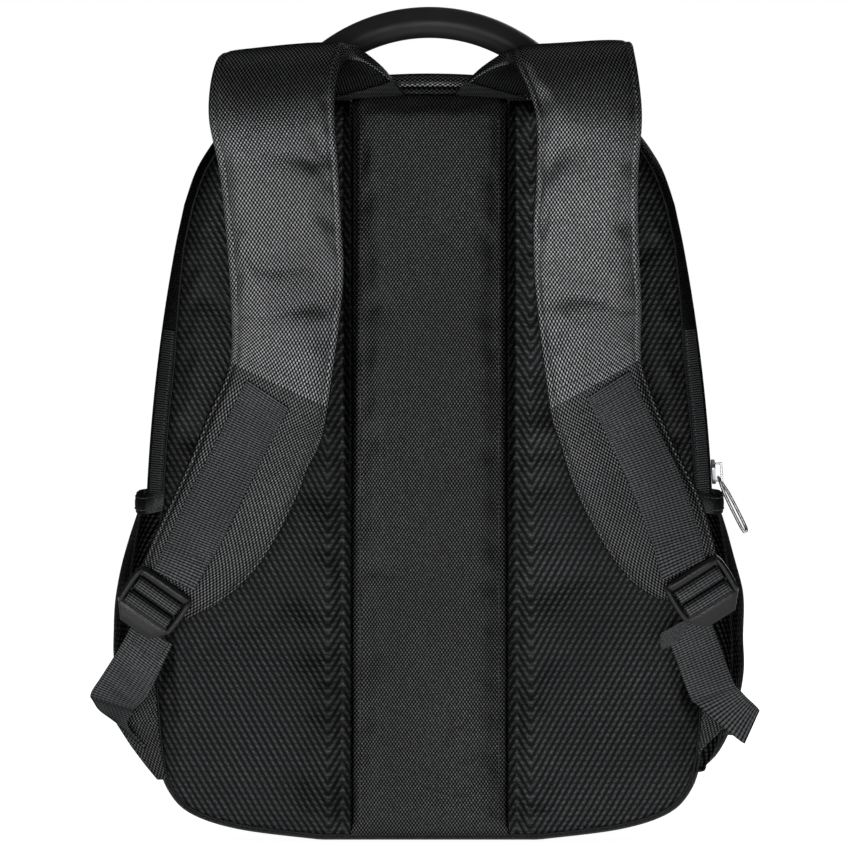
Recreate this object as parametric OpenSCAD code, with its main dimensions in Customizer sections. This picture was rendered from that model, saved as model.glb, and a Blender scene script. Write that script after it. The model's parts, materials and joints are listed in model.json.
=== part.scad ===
// School backpack with padded shoulder straps, a moulded carry handle, a zipped main
// compartment whose front half folds down, two front pockets and two mesh side pockets.
// Millimetres. +Z is up, -Y is the wearer's side, the origin is on the floor under the middle.

/* [Bag] */
// Width across the main zip, at its lower end
bag_w = 342; // [332:1:346]
// Height of the body, from the base to the top seam
bag_h = 461; // [456:1:464]
// Thickness of the padded fabric wall
wall = 3; // [2:0.5:4]
// Height of the line that the front half folds down about
fold_z = 205; // [202:1:208]

/* [Back padding] */
// Width of the centre channel pad
centre_pad_w = 94; // [84:1:100]
// Thickness of the back pads
pad_t = 9; // [6:1:10]

/* [Straps] */
// Thickness of a shoulder strap at its fullest
strap_t = 11; // [8:1:13]
// Width of the webbing
webbing_w = 30; // [26:1:32]
// Thickness of the webbing
webbing_t = 1.6; // [1.2:0.2:1.8]

/* [Handle] */
// Radius of the grip's centre line
grip_bend_r = 100; // [96:0.5:104]
// Radius of the grip itself
grip_r = 9.5; // [8:0.5:10]

/* [Zips] */
// Width of each zip tape that shows beside the teeth
tape_w = 6; // [5:0.5:8]
// Travel of a front pocket's slider along its zip
pocket_zip_l = 190; // [150:5:200]

/* [Hidden] */

gap = 0.4; // between pieces that move past each other
back_y = -78; // outside of the back panel
front_y = 85; // outside of the front panel
zip_y = -52; // middle of the main zip
half_w = bag_w / 2;
top_z = bag_h;

// The side of the body is one long arc above the fold, which the main slider follows.
side_arc_r = 1100;
side_arc_lean = 2.5; // degrees that the side leans in at the fold
side_arc_x = half_w - side_arc_r * cos(side_arc_lean);
side_arc_z = fold_z - side_arc_r * sin(side_arc_lean);
side_arc_end = 10.8; // degrees of lean where the arc ends and the shoulder begins

// Main slider and its pull
slider_lean = 3.4; // degrees round the side arc at which the slider is parked
slider_y = zip_y;
pull_hang = 20; // degrees that the pull hangs out from straight down

// Handle hinge
handle_y = -62;
handle_z = 468;
grip_top_z = 503;
grip_centre_z = grip_top_z - grip_r - grip_bend_r;
knuckle_r = 7;
knuckle_l = 18;

fabric = [0.10, 0.10, 0.11];
mesh_fabric = [0.06, 0.06, 0.065];
lining_grey = [0.30, 0.30, 0.32];
webbing_black = [0.13, 0.13, 0.14];
plastic_black = [0.08, 0.08, 0.08];
chrome_grey = [0.80, 0.80, 0.82];

// ---------- curves ----------

// Point at share t of the span from b to c of a smooth curve through a, b, c and d
function curve_point(a, b, c, d, t) =
    0.5 * (2 * b + (c - a) * t + (2 * a - 5 * b + 4 * c - d) * t * t
        + (3 * b - a - 3 * c + d) * t * t * t);

// n points on each span of a smooth curve through the list p
function smooth(p, n) = [
    for (i = [0:len(p) - 2]) for (k = [0:n - 1])
        curve_point(p[max(i - 1, 0)], p[i], p[i + 1], p[min(i + 2, len(p) - 1)], k / n),
    p[len(p) - 1]];

function unit(v) = v / norm(v);

// Point i of a closed anticlockwise outline, moved inwards by d
function inset_point(p, i, d) =
    let (a = p[(i + len(p) - 1) % len(p)], b = p[(i + 1) % len(p)], t = unit(b - a))
        p[i] + d * [-t[1], t[0]];

function inset(p, d) = [for (i = [0:len(p) - 1]) inset_point(p, i, d)];

// A right half outline, from the bottom up, and its mirror image
function both_halves(p) = concat(p, [for (i = [len(p) - 1:-1:0]) [-p[i][0], p[i][1]]]);

// ---------- the body's three outlines ----------

// Seen from the back, [half width, height]
lower_side = [[66, 0], [114, 6], [143, 15], [157, 28], [164, 48], [168, 90], [170.5, 150]];
shoulder = [[148, 384], [138, 410], [117, 436], [84, 453], [40, 460], [14, top_z]];
side_arc = [for (a = [side_arc_lean:(side_arc_end - side_arc_lean) / 6:side_arc_end])
    [side_arc_x + side_arc_r * cos(a), side_arc_z + side_arc_r * sin(a)]];
back_outline = both_halves(concat(smooth(lower_side, 2), side_arc, smooth(shoulder, 2)));

// Seen from the side, [depth, height]
side_outline = [[-72, 0], [72, 0], [81, 5], [85, 16], [85, 262], [83, 318], [77, 368],
    [66, 408], [48, 438], [22, 455], [-12, top_z], [-62, top_z], [-73, 453], [-78, 440], [-78, 6]];

// Seen from above, [half width, depth], from behind the back to beyond the front
plan_half = [[149.3, -88], [158, -78], [165, -70], [172, -58], [172, 45], [167, 66],
    [152, 85], [140, 100.2]];

module along_x(x0, x1) {
    translate([x0, 0, 0]) rotate([90, 0, 90]) linear_extrude(x1 - x0) children();
}
module along_y(y0, y1) {
    translate([0, y1, 0]) rotate([90, 0, 0]) linear_extrude(y1 - y0) children();
}
module along_z(z0, z1) {
    translate([0, 0, z0]) linear_extrude(z1 - z0) children();
}
module box(low, high) {
    translate(low) cube(high - low);
}
module mirror_if(yes) {
    if (yes) mirror([1, 0, 0]) children();
    else children();
}

// The body's envelope from the back and from above, moved in by d
module side_envelope(d) {
    intersection() {
        along_y(back_y, front_y) polygon(inset(back_outline, d));
        along_z(-1, top_z + 1) polygon(inset(both_halves(plan_half), d));
    }
}

// The fabric that wraps the sides, base and top
module wrap(low, high) {
    intersection() {
        box(low, high);
        along_x(-half_w - 2, half_w + 2) polygon(side_outline);
        difference() {
            side_envelope(0);
            side_envelope(wall);
        }
    }
}

// The front wall, between the two sides
module front_wall(z0, z1) {
    intersection() {
        box([-half_w, 0, z0], [half_w, front_y + 1, z1]);
        side_envelope(wall + 0.05);
        along_x(-half_w, half_w) difference() {
            polygon(side_outline);
            polygon(inset(side_outline, wall));
        }
    }
}

// ---------- back ----------

module back_panel() {
    color(fabric) intersection() {
        side_envelope(wall + 0.05);
        along_y(back_y, back_y + wall) polygon(inset(back_outline, 4));
        box([-half_w, back_y - 1, 3], [half_w, 0, 452]);
    }
}

pad_y = back_y - 0.3;
centre_pad_corner_r = 12;

// The pads stand in from the edge above the side pockets, and reach nearly to it elsewhere.
function ramp(z, low, high) = max(0, min(1, (z - low) / (high - low)));
function pad_inset(z) = 4.5 + 6.5 * ramp(z, 140, 210) - 5 * ramp(z, 290, 360);
pad_outline = [for (i = [0:len(back_outline) - 1])
    inset_point(back_outline, i, pad_inset(back_outline[i][1]))];

module back_pad_centre() {
    color(fabric) along_y(pad_y - pad_t - 1, pad_y) hull() {
        for (x = [-1, 1]) {
            translate([x * (centre_pad_w / 2 - centre_pad_corner_r), 446 - centre_pad_corner_r])
                circle(centre_pad_corner_r, $fn = 32);
            translate([x * (centre_pad_w / 2 - 4), 8]) circle(4, $fn = 32);
        }
    }
}

module back_pad() {
    color(mesh_fabric) intersection() {
        along_y(pad_y - pad_t, pad_y) polygon(pad_outline);
        box([-half_w, -100, 0], [-centre_pad_w / 2 - 1.5, 0, 444]);
    }
}

// The bound seam along the top of the back panel, which the strap roots are sewn into
module root_binding() {
    color(webbing_black) along_y(back_y - 3, back_y - 0.3)
        polygon([[-88, 447.5], [88, 447.5], [84, 452], [-84, 452]]);
}

// ---------- sides, base and lower front ----------

module rear_band() {
    color(fabric) wrap([-half_w, back_y + wall, fold_z], [half_w, zip_y - tape_w, top_z]);
}

module main_zip_rear_tape() {
    color(webbing_black)
        wrap([-half_w, zip_y - tape_w, fold_z], [half_w, zip_y - gap / 2, top_z]);
}

base_half_w = 140;

module side_panel() {
    color(fabric) wrap([-half_w - 1, back_y + wall, 0], [-base_half_w, front_y, fold_z - gap / 2]);
}

module base_panel() {
    color(fabric) wrap([-base_half_w, back_y + wall, 0], [base_half_w, front_y, 30]);
}

base_pad_t = 5;

module base_pad() {
    color(lining_grey) intersection() {
        box([-base_half_w + 6, -40, 0], [base_half_w - 6, 66, 30]);
        difference() {
            side_envelope(wall + 0.1);
            side_envelope(wall + base_pad_t);
        }
    }
}

module front_panel() {
    color(fabric) front_wall(4, fold_z - gap / 2);
}

// A padded wall that keeps a laptop against the back
divider_half_w = 138;
divider_y = -46;
divider_z = 292;
divider_corner_r = 20;

module laptop_divider() {
    color(lining_grey) along_y(divider_y - 3, divider_y + 3) hull() {
        for (x = [-1, 1]) {
            translate([x * (divider_half_w - divider_corner_r), divider_z - divider_corner_r])
                circle(divider_corner_r, $fn = 32);
            translate([x * (divider_half_w - 8), 32]) circle(8, $fn = 32);
        }
    }
}

// ---------- front pockets ----------

// A pocket that stands out from the front: face is its outline from the front, side its
// outline from the side, and end_w how far its ends slope in from wall to crown.
module pocket_block(face, side, end_w, d) {
    half = max([for (p = face) p[0]]);
    crown = max([for (p = side) p[0]]);
    intersection() {
        along_y(front_y - 20, crown + 1) polygon(inset(face, d));
        along_x(-half, half) polygon(inset(side, d));
        along_z(0, top_z) polygon(inset(both_halves([[half, front_y - 30], [half, front_y],
            [half - end_w, crown]]), d));
    }
}

module pocket_shell(face, side, end_w) {
    difference() {
        pocket_block(face, side, end_w, 0);
        pocket_block(face, side, end_w, 2);
        along_x(-half_w, half_w) polygon(inset(side_outline, -0.15));
    }
}

// A straight zip tape let into a pocket's top slope, which runs from low to high
module slope_tape(half_l, low, high) {
    run = unit(high - low);
    out = [run[1], -run[0]];
    middle = (low + high) / 2;
    color(webbing_black) along_x(-half_l, half_l) polygon([
        middle - run * tape_w + out * 0.3, middle - run * tape_w + out * 1.3,
        middle + run * tape_w + out * 1.3, middle + run * tape_w + out * 0.3]);
}

front_face = both_halves(smooth([[60, 18], [110, 21], [126, 40], [130, 80], [127, 140],
    [118, 172], [90, 188], [40, 190]], 2));
front_crown_y = 126.6;
front_slope = [[119, 152], [97, 182]];
front_side = [[front_y - 20, 18], [front_y, 22], [110, 30], [123, 56], [front_crown_y, 100],
    [125, 132], front_slope[0], front_slope[1], [front_y - 20, 190]];

module front_pocket() {
    color(fabric) pocket_shell(front_face, front_side, 22);
}
module front_zip_tape() {
    slope_tape(104, front_slope[0], front_slope[1]);
}

upper_face = both_halves(smooth([[60, 213], [108, 215], [119, 232], [120, 290], [110, 345],
    [95, 372], [60, 386], [20, 388]], 2));
upper_slope = [[107, 332], [85, 366]];
upper_side = [[front_y - 30, 213], [front_y, 217], [104, 228], [114, 252], [113, 300],
    upper_slope[0], upper_slope[1], [52, 390], [40, 390]];

module upper_pocket() {
    color(fabric) pocket_shell(upper_face, upper_side, 18);
}
module upper_zip_tape() {
    slope_tape(84, upper_slope[0], upper_slope[1]);
}

// ---------- side pockets, for the left side ----------

pocket_mouth_z = 197;
hem_h = 12;
hem_t = 1.8;

// Seen from the back, [distance out from the middle, height], from the foot up
pocket_belly = [[165, 42], [175, 50], [183, 68], [188.5, 96], [189, 120], [187, 150],
    [182, 174], [180, pocket_mouth_z]];

// Seen from above, [distance out, depth]: the pocket is shallow by the zip and full ahead of it
pocket_plan = [[160, -69], [170, -67], [175, -60], [178, -50], [184, -38], [189.5, -18],
    [189.5, 18], [184, 40], [172, 56], [160, 56]];
hem_plan = [[160, -69.4], [170, -67.4], [174.6, -60], [177, -50], [179.5, -36], [180.4, -18],
    [180.4, 18], [179, 40], [171, 56.4], [160, 56.4]];

module left_plan(plan, d, z0, z1) {
    outline = [for (i = [len(plan) - 1:-1:0]) [-plan[i][0], plan[i][1]]];
    along_z(z0, z1) polygon(inset(outline, d));
}

module pocket_solid(d, foot) {
    belly = [for (p = smooth(pocket_belly, 2)) [-p[0] + d, p[1]]];
    intersection() {
        along_y(-80, 80) polygon(concat(belly, [[-160, pocket_mouth_z], [-160, 44]]));
        left_plan(pocket_plan, d, foot, pocket_mouth_z);
    }
}

module side_pocket() {
    color(mesh_fabric) difference() {
        pocket_solid(0, 0);
        pocket_solid(2, 46);
        side_envelope(-0.3);
    }
}

module pocket_hem() {
    z0 = pocket_mouth_z + 0.1;
    color(webbing_black) difference() {
        left_plan(hem_plan, 0, z0, z0 + hem_h);
        left_plan(hem_plan, hem_t, z0 - 1, z0 + hem_h + 1);
        side_envelope(-0.3);
    }
}

// ---------- flap: the front half above the fold ----------

module flap_panel() {
    color(fabric) front_wall(fold_z + gap / 2, top_z);
}
module flap_band() {
    color(fabric)
        wrap([-half_w, zip_y + tape_w, fold_z + gap / 2], [half_w, front_y, top_z]);
}
module main_zip_front_tape() {
    color(webbing_black)
        wrap([-half_w, zip_y + gap / 2, fold_z + gap / 2], [half_w, zip_y + tape_w, top_z]);
}

// ---------- handle ----------

// The grip's centre line meets the hinge's height here.
grip_end_angle = asin((handle_z - grip_centre_z) / grip_bend_r);
knuckle_x = grip_bend_r * cos(grip_end_angle) + knuckle_l / 2 - grip_r;

module handle_grip() {
    color(plastic_black) {
        translate([0, handle_y, grip_centre_z]) rotate([90, 0, 0])
            rotate([0, 0, grip_end_angle])
                rotate_extrude(angle = 180 - 2 * grip_end_angle, $fn = 96)
                    translate([grip_bend_r, 0]) circle(grip_r, $fn = 32);
        for (x = [-1, 1])
            translate([x * knuckle_x, handle_y, handle_z]) rotate([0, 90, 0])
                cylinder(r = knuckle_r, h = knuckle_l, center = true, $fn = 48);
    }
}

handle_tab_x = [70, 79.5];

module handle_tab() {
    color(webbing_black) difference() {
        box([-handle_tab_x[1], handle_y - 10, 438],
            [-handle_tab_x[0], handle_y + 10, handle_z - knuckle_r - gap]);
        side_envelope(-0.2);
    }
}

// ---------- straps: a strap is a ribbon between an outer and an inner edge ----------

// Each row is [outer x, y, z, inner x, y, z, thickness], from the root over the fold and
// down to the tip. A right strap is given as its mirror image.
strap_rows_left = [
    [-78, -84, 450, -16, -84, 450, 0.36], [-96, -89, 462, -28, -88, 464, 0.6],
    [-119, -101, 469, -44, -98, 474, 0.9], [-128, -114, 463, -53, -112, 468, 1],
    [-131, -121, 436, -57, -120, 444, 1], [-125, -120, 405, -55, -119, 410, 1],
    [-121, -117, 368, -53, -116, 374, 1], [-118, -113, 323, -52, -112, 334, 1],
    [-119, -109, 289, -61, -108, 262, 1], [-133, -107, 256, -66, -107, 240, 1],
    [-143, -106, 231, -73, -106, 226, 1], [-154, -105, 207, -81, -105, 206, 1],
    [-167, -103, 179, -101, -103, 170, 0.8], [-171, -102, 164, -124, -102, 147, 0.62],
    [-166, -101, 150, -146, -101, 136, 0.5]];
strap_rows_right = [
    [-78, -84, 450, -16, -84, 450, 0.36], [-98, -89, 463, -30, -88, 463, 0.6],
    [-118, -101, 474, -46, -98, 471, 0.9], [-122, -114, 471, -52, -112, 466, 1],
    [-126, -121, 438, -63, -120, 440, 1], [-124, -120, 405, -64, -119, 405, 1],
    [-124, -117, 370, -62, -116, 368, 1], [-126, -113, 325, -64, -112, 328, 1],
    [-126, -109, 292, -72, -108, 262, 1], [-133, -107, 270, -78, -107, 242, 1],
    [-146, -106, 240, -85, -106, 219, 1], [-161, -105, 210, -95, -105, 197, 1],
    [-170, -103, 180, -110, -103, 172, 0.8], [-171, -102, 166, -126, -102, 154, 0.62],
    [-166, -101, 153, -144, -101, 146, 0.5]];

function outer_point(row) = [row[0], row[1], row[2]];
function inner_point(row) = [row[3], row[4], row[5]];

// A ribbon through smoothed rows, from share a to share b of its local thickness t * row[6]
module ribbon(rows, t, a, b, steps) {
    line = smooth(rows, steps);
    last = len(line) - 1;
    rings = [for (i = [0:last])
        let (
            outer = outer_point(line[i]),
            inner = inner_point(line[i]),
            before = line[max(i - 1, 0)],
            after = line[min(i + 1, last)],
            along = outer_point(after) + inner_point(after) - outer_point(before)
                - inner_point(before),
            out = unit(cross(along, inner - outer)) * t * line[i][6]
        ) [outer + out * a, inner + out * a, inner + out * b, outer + out * b]];
    points = [for (r = rings) for (p = r) p];
    // Both broad faces are split along the same diagonals, so that layers meet face to face.
    sides = [for (i = [0:last - 1]) for (k = [0:3])
        let (p = 4 * i + k, q = 4 * i + (k + 1) % 4)
            each k == 2 ? [[p, p + 4, q + 4], [p, q + 4, q]] : [[p, p + 4, q], [q, p + 4, q + 4]]];
    end = 4 * last;
    polyhedron(points, concat(sides, [[0, 1, 2], [0, 2, 3],
        [end + 2, end + 1, end], [end + 3, end + 2, end]]), convexity = 4);
}

module strap_cover(rows) {
    color(fabric) ribbon(rows, strap_t, 0.39, 0.5, 2);
}
module strap_foam(rows) {
    color(lining_grey) ribbon(rows, strap_t, -0.36, 0.39, 2);
}
module strap_lining(rows) {
    color(mesh_fabric) ribbon(rows, strap_t, -0.5, -0.36, 2);
}

// Webbing rows are [outer x, y, z, inner x, y, z, 1]; y is the webbing's own middle.
strap_webbing_rows_left = [
    [-109, -115.8, 279, -84, -115.5, 262, 1], [-127, -113.5, 243, -100, -113.5, 232, 1],
    [-145, -112.3, 208, -117, -112.3, 196, 1], [-158, -111.2, 180, -131, -111.2, 170, 1],
    [-165, -110.6, 165, -141, -110.6, 153, 1]];
strap_webbing_rows_right = [
    [-119, -115.8, 284, -94, -115.5, 268, 1], [-133, -113.5, 256, -106, -113.5, 245, 1],
    [-149, -112.3, 224, -120, -112.3, 214, 1], [-160, -111.2, 192, -132, -111.2, 184, 1],
    [-165, -110.6, 172, -139, -110.6, 159, 1]];

module strap_webbing(rows) {
    color(webbing_black) ribbon(rows, webbing_t, -0.5, 0.5, 2);
}

// From behind the buckle's lip, out past the side, over a fold and back to the anchor tab
adjuster_rows_left = [
    [-176, -104.6, 136, -152, -104.6, 119, 1], [-184, -102, 121, -161, -102, 103, 1],
    [-194, -98, 103, -169, -97, 87, 1], [-200, -93, 90, -177, -91, 76, 1],
    [-199, -87, 82, -178, -85, 67, 1], [-189, -81, 74, -171, -80, 57, 1]];
adjuster_rows_right = [
    [-166, -104.6, 141, -141, -104.6, 128, 1], [-173, -102, 127, -148, -102, 116, 1],
    [-181, -99, 105, -156, -98, 94, 1], [-192, -94, 90, -173, -93, 72, 1],
    [-200, -87, 81, -189, -86, 61, 1], [-191, -81, 76, -177, -80, 55, 1]];
tail_rows_left = [
    [-167, -106.6, 130, -143, -106.6, 113, 1], [-170, -106.2, 121, -147, -106.2, 105, 1],
    [-174, -105.6, 112, -151, -105.6, 96, 1]];
tail_rows_right = [
    [-160, -106.6, 137, -135, -106.6, 124, 1], [-158, -106.4, 128, -134, -106.4, 115, 1],
    [-157, -106, 120, -133, -106, 107, 1]];

module webbing_run(rows) {
    color(webbing_black) ribbon(rows, webbing_t, -0.5, 0.5, 2);
}

anchor_outline = [[-156, 104], [-165, 104], [-173, 92], [-187, 72], [-183, 58], [-172, 46],
    [-163.5, 36], [-156, 36]];

module anchor_tab() {
    color(fabric) difference() {
        along_y(-77.5, -74.5) polygon(anchor_outline);
        side_envelope(-0.1);
    }
}

// ---------- ladder-lock buckles ----------

buckle_w = 38;
buckle_h = 37;
buckle_t = 3.4;
slot_w = webbing_w + 1.4;
// [x, y, z, turn] of the middle of the top bar
buckle_place_left = [-158, -109.3, 156, -35];
buckle_place_right = [-157, -109.3, 163, -32];

module place_buckle(at) {
    translate([at[0], at[1], at[2]]) rotate([0, -at[3], 0]) children();
}

// In its own frame the top bar's axis is X, the lip is below it and -Y faces out.
module ladder_lock() {
    color(plastic_black) difference() {
        along_y(-buckle_t / 2, buckle_t / 2) hull() {
            for (x = [-1, 1]) {
                translate([x * (buckle_w / 2 - 3), 0]) circle(3, $fn = 32);
                translate([x * (buckle_w / 2 - 2.5), -18]) circle(2.5, $fn = 32);
                translate([x * (buckle_w / 2 - 9), 6 - buckle_h]) circle(3, $fn = 32);
            }
        }
        box([-slot_w / 2, -5, -4.6], [slot_w / 2, 5, -1.4]);
        box([-slot_w / 2, -5, -17], [slot_w / 2, 5, -12]);
        box([-slot_w / 2, -5, -25.4], [slot_w / 2, 5, -20.4]);
    }
}

// The turn of adjuster webbing round the buckle's grip bar
module webbing_turn() {
    turn_z = [-23.2, -14.2];
    y = buckle_t / 2;
    color(webbing_black) difference() {
        box([-webbing_w / 2, -y - 1.8, turn_z[0]], [webbing_w / 2, y, turn_z[1]]);
        box([-webbing_w, -y - 0.3, turn_z[0] + 2.5], [webbing_w, y + 1, turn_z[1] - 2.5]);
    }
}

// ---------- zip sliders and pulls ----------

slider_l = 15;
slider_w = 11;
plate_t = 2.4;
bridge_x = [-6.4, 5.4];
bridge_w = 3;
bridge_t = 1.4;
bridge_z = 6.8;

// In a slider's own frame +Z is out of the zip and X the way that it travels.
module slider_body() {
    nose_r = 4;
    color(chrome_grey) {
        hull() {
            translate([nose_r - slider_l / 2, 0, 0]) cylinder(r = nose_r, h = plate_t, $fn = 32);
            translate([(slider_l - slider_w) / 2, 0, 0])
                cylinder(r = slider_w / 2, h = plate_t, $fn = 32);
        }
        for (x = [bridge_x[0], bridge_x[1] - bridge_t])
            box([x, -bridge_w / 2, plate_t], [x + bridge_t, bridge_w / 2, bridge_z]);
        box([bridge_x[0], -bridge_w / 2, bridge_z - bridge_t],
            [bridge_x[1], bridge_w / 2, bridge_z]);
    }
}

pull_l = 38;
pull_w = 8.4;
pull_t = 1.6;
pull_rail = 2.3;
pull_at = [-3.4, 3.9]; // the pivot's place in the slider's frame, under its bridge

// In a pull's own frame it hangs along -X from a pivot at the origin whose axis is Y.
module pull_body() {
    eye_half_w = bridge_w / 2 + 0.4;
    loop_half_w = pull_w / 2 - pull_rail;
    tip_x = pull_w / 2 - pull_l;
    color(chrome_grey) {
        rotate([90, 0, 0]) cylinder(r = 0.9, h = pull_w - 1, center = true, $fn = 32);
        difference() {
            box([tip_x, -pull_w / 2, -pull_t / 2], [0.9, pull_w / 2, pull_t / 2]);
            box([tip_x - 1, -loop_half_w, -2], [-8, loop_half_w, 2]);
            box([-5.2, -eye_half_w, -2], [2, eye_half_w, 2]);
        }
        translate([tip_x, 0, -pull_t / 2]) difference() {
            cylinder(r = pull_w / 2, h = pull_t, $fn = 48);
            translate([0, 0, -1]) cylinder(r = loop_half_w, h = 4, $fn = 48);
            box([0, -5, -1], [5, 5, 4]);
        }
    }
}

// Frame on the side arc at lean a degrees: +Z out of the bag, X up along the zip
module on_side_arc(a) {
    translate([side_arc_x, slider_y, side_arc_z]) rotate([0, -a, 0])
        translate([side_arc_r, 0, 0]) rotate([0, 90, 0]) rotate([0, 0, 180]) children();
}

slider_lift = 0.4;

module main_slider() {
    on_side_arc(slider_lean) translate([0, 0, slider_lift]) slider_body();
}
module main_pull() {
    on_side_arc(slider_lean) translate([pull_at[0], 0, slider_lift + pull_at[1]])
        rotate([0, pull_hang + slider_lean, 0]) pull_body();
}

// Frame on a pocket's slope at x: +Z out of the pocket, X back along the zip
module on_slope(x, slope) {
    run = slope[1] - slope[0];
    middle = (slope[0] + slope[1]) / 2;
    translate([x, middle[0], middle[1]]) rotate([atan2(run[1], run[0]) - 180, 0, 0])
        rotate([0, 0, 180]) translate([0, 0, 1.3 + slider_lift]) children();
}

pocket_slider_x = [-pocket_zip_l / 2, -72];
pull_rest = 3; // degrees that a pocket's pull lies below level with its zip

module slope_slider(x, slope) {
    on_slope(x, slope) slider_body();
}
module slope_pull(x, slope) {
    on_slope(x, slope) translate([pull_at[0], 0, pull_at[1]])
        rotate([0, -pull_rest, 0]) pull_body();
}

// ---------- nodes ----------

back_panel();
back_pad_centre();
back_pad();  // back_pad_left
mirror([1, 0, 0]) back_pad();  // back_pad_right
root_binding();
rear_band();
main_zip_rear_tape();
side_panel();  // side_panel_left
mirror([1, 0, 0]) side_panel();  // side_panel_right
base_panel();
base_pad();
front_panel();
front_pocket();
front_zip_tape();
laptop_divider();
side_pocket();  // side_pocket_left
mirror([1, 0, 0]) side_pocket();  // side_pocket_right
pocket_hem();  // pocket_hem_left
mirror([1, 0, 0]) pocket_hem();  // pocket_hem_right
anchor_tab();  // anchor_tab_left
mirror([1, 0, 0]) anchor_tab();  // anchor_tab_right
handle_tab();  // handle_tab_left
mirror([1, 0, 0]) handle_tab();  // handle_tab_right
flap_panel();
flap_band();
main_zip_front_tape();
upper_pocket();
upper_zip_tape();
handle_grip();
strap_cover(strap_rows_left);  // strap_cover_left
strap_foam(strap_rows_left);  // strap_foam_left
strap_lining(strap_rows_left);  // strap_lining_left
strap_webbing(strap_webbing_rows_left);  // strap_webbing_left
webbing_run(adjuster_rows_left);  // adjuster_left
webbing_run(tail_rows_left);  // webbing_tail_left
mirror([1, 0, 0]) strap_cover(strap_rows_right);  // strap_cover_right
mirror([1, 0, 0]) strap_foam(strap_rows_right);  // strap_foam_right
mirror([1, 0, 0]) strap_lining(strap_rows_right);  // strap_lining_right
mirror([1, 0, 0]) strap_webbing(strap_webbing_rows_right);  // strap_webbing_right
mirror([1, 0, 0]) webbing_run(adjuster_rows_right);  // adjuster_right
mirror([1, 0, 0]) webbing_run(tail_rows_right);  // webbing_tail_right
place_buckle(buckle_place_left) ladder_lock();  // ladder_lock_left
mirror([1, 0, 0]) place_buckle(buckle_place_right) ladder_lock();  // ladder_lock_right
place_buckle(buckle_place_left) webbing_turn();  // webbing_turn_left
mirror([1, 0, 0]) place_buckle(buckle_place_right) webbing_turn();  // webbing_turn_right
main_slider();
main_pull();
slope_slider(pocket_slider_x[0], front_slope);  // front_slider
slope_pull(pocket_slider_x[0], front_slope);  // front_pull
slope_slider(pocket_slider_x[1], upper_slope);  // upper_slider
slope_pull(pocket_slider_x[1], upper_slope);  // upper_pull
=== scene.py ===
"""School backpack: its looks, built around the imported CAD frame.

Shapes are worked out in millimetres, as in the CAD source, and made in metres. +Z is up, -Y is
the wearer's side and the origin is on the floor under the middle."""

import json
import math

import bmesh
import bpy
import numpy as np
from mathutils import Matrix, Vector, noise


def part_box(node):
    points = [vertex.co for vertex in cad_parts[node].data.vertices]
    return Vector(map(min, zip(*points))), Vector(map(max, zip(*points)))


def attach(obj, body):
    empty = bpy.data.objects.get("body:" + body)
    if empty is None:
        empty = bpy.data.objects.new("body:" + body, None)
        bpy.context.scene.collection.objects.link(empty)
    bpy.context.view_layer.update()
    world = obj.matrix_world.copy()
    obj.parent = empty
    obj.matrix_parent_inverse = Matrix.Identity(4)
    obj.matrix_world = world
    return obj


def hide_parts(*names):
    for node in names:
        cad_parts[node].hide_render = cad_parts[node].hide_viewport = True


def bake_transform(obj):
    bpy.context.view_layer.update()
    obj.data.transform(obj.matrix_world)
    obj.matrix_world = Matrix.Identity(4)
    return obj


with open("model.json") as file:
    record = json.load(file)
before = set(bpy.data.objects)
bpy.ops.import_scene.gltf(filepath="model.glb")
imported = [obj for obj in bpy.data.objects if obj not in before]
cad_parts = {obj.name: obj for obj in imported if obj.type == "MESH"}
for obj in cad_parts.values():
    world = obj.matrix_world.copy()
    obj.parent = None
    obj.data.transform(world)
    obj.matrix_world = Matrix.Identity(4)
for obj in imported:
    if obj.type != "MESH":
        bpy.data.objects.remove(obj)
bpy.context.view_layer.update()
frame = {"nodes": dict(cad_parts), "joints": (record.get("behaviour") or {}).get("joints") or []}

MM = 0.001
LEFT, RIGHT = -1, 1
SIDES = ((LEFT, "left"), (RIGHT, "right"))

# ---------- camera ----------

FRAME_W = 0.51  # what the picture spans at the object, in metres
CAMERA_FAR = 5.0
CAMERA_RISE = 1.2  # degrees above the horizon
CAMERA_AIM = Vector((-0.0027, -0.09, 0.2514))


def add_object(name, data):
    made = bpy.data.objects.new(name, data)
    bpy.context.scene.collection.objects.link(made)
    return made


def look(thing, at, aim):
    """Puts a camera or lamp at a place, looking at its aim."""
    thing.location = at
    thing.rotation_mode = "QUATERNION"
    thing.rotation_quaternion = (Vector(aim) - Vector(at)).to_track_quat("-Z", "Y")


def make_camera():
    data = bpy.data.cameras.new("camera")
    data.sensor_width = 36
    data.lens = data.sensor_width * CAMERA_FAR / FRAME_W
    camera = add_object("camera", data)
    rise = math.radians(CAMERA_RISE)
    back = Vector((0, -math.cos(rise), math.sin(rise)))
    look(camera, CAMERA_AIM + back * CAMERA_FAR, CAMERA_AIM)
    bpy.context.scene.camera = camera


make_camera()

# ---------- the body's outlines, as the CAD source has them ----------

HALF_W = 171.0
TOP_Z = 461.0
FOLD_Z = 205.0
BACK_Y = -78.0
FRONT_Y = 85.0
ZIP_Y = -52.0
TAPE_W = 6.0
PAD_Y = BACK_Y - 0.3
PAD_T = 9.0
CENTRE_HALF_W = 47.0
STRAP_T = 11.0
WEBBING_W = 30.0
WEBBING_T = 1.6

ARC_R = 1100.0
ARC_LEAN = math.radians(2.5)
ARC_END = math.radians(10.8)
LOWER_SIDE = [[66, 0], [114, 6], [143, 15], [157, 28], [164, 48], [168, 90], [170.5, 150]]
SHOULDER = [[148, 384], [138, 410], [117, 436], [84, 453], [40, 460], [14, TOP_Z]]
# [height, depth] of the front, from the base to the top
FRONT_LINE = [[0, 72], [5, 81], [16, 85], [262, 85], [318, 83], [368, 77], [408, 66],
              [438, 48], [455, 22], [461, -12]]


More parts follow.
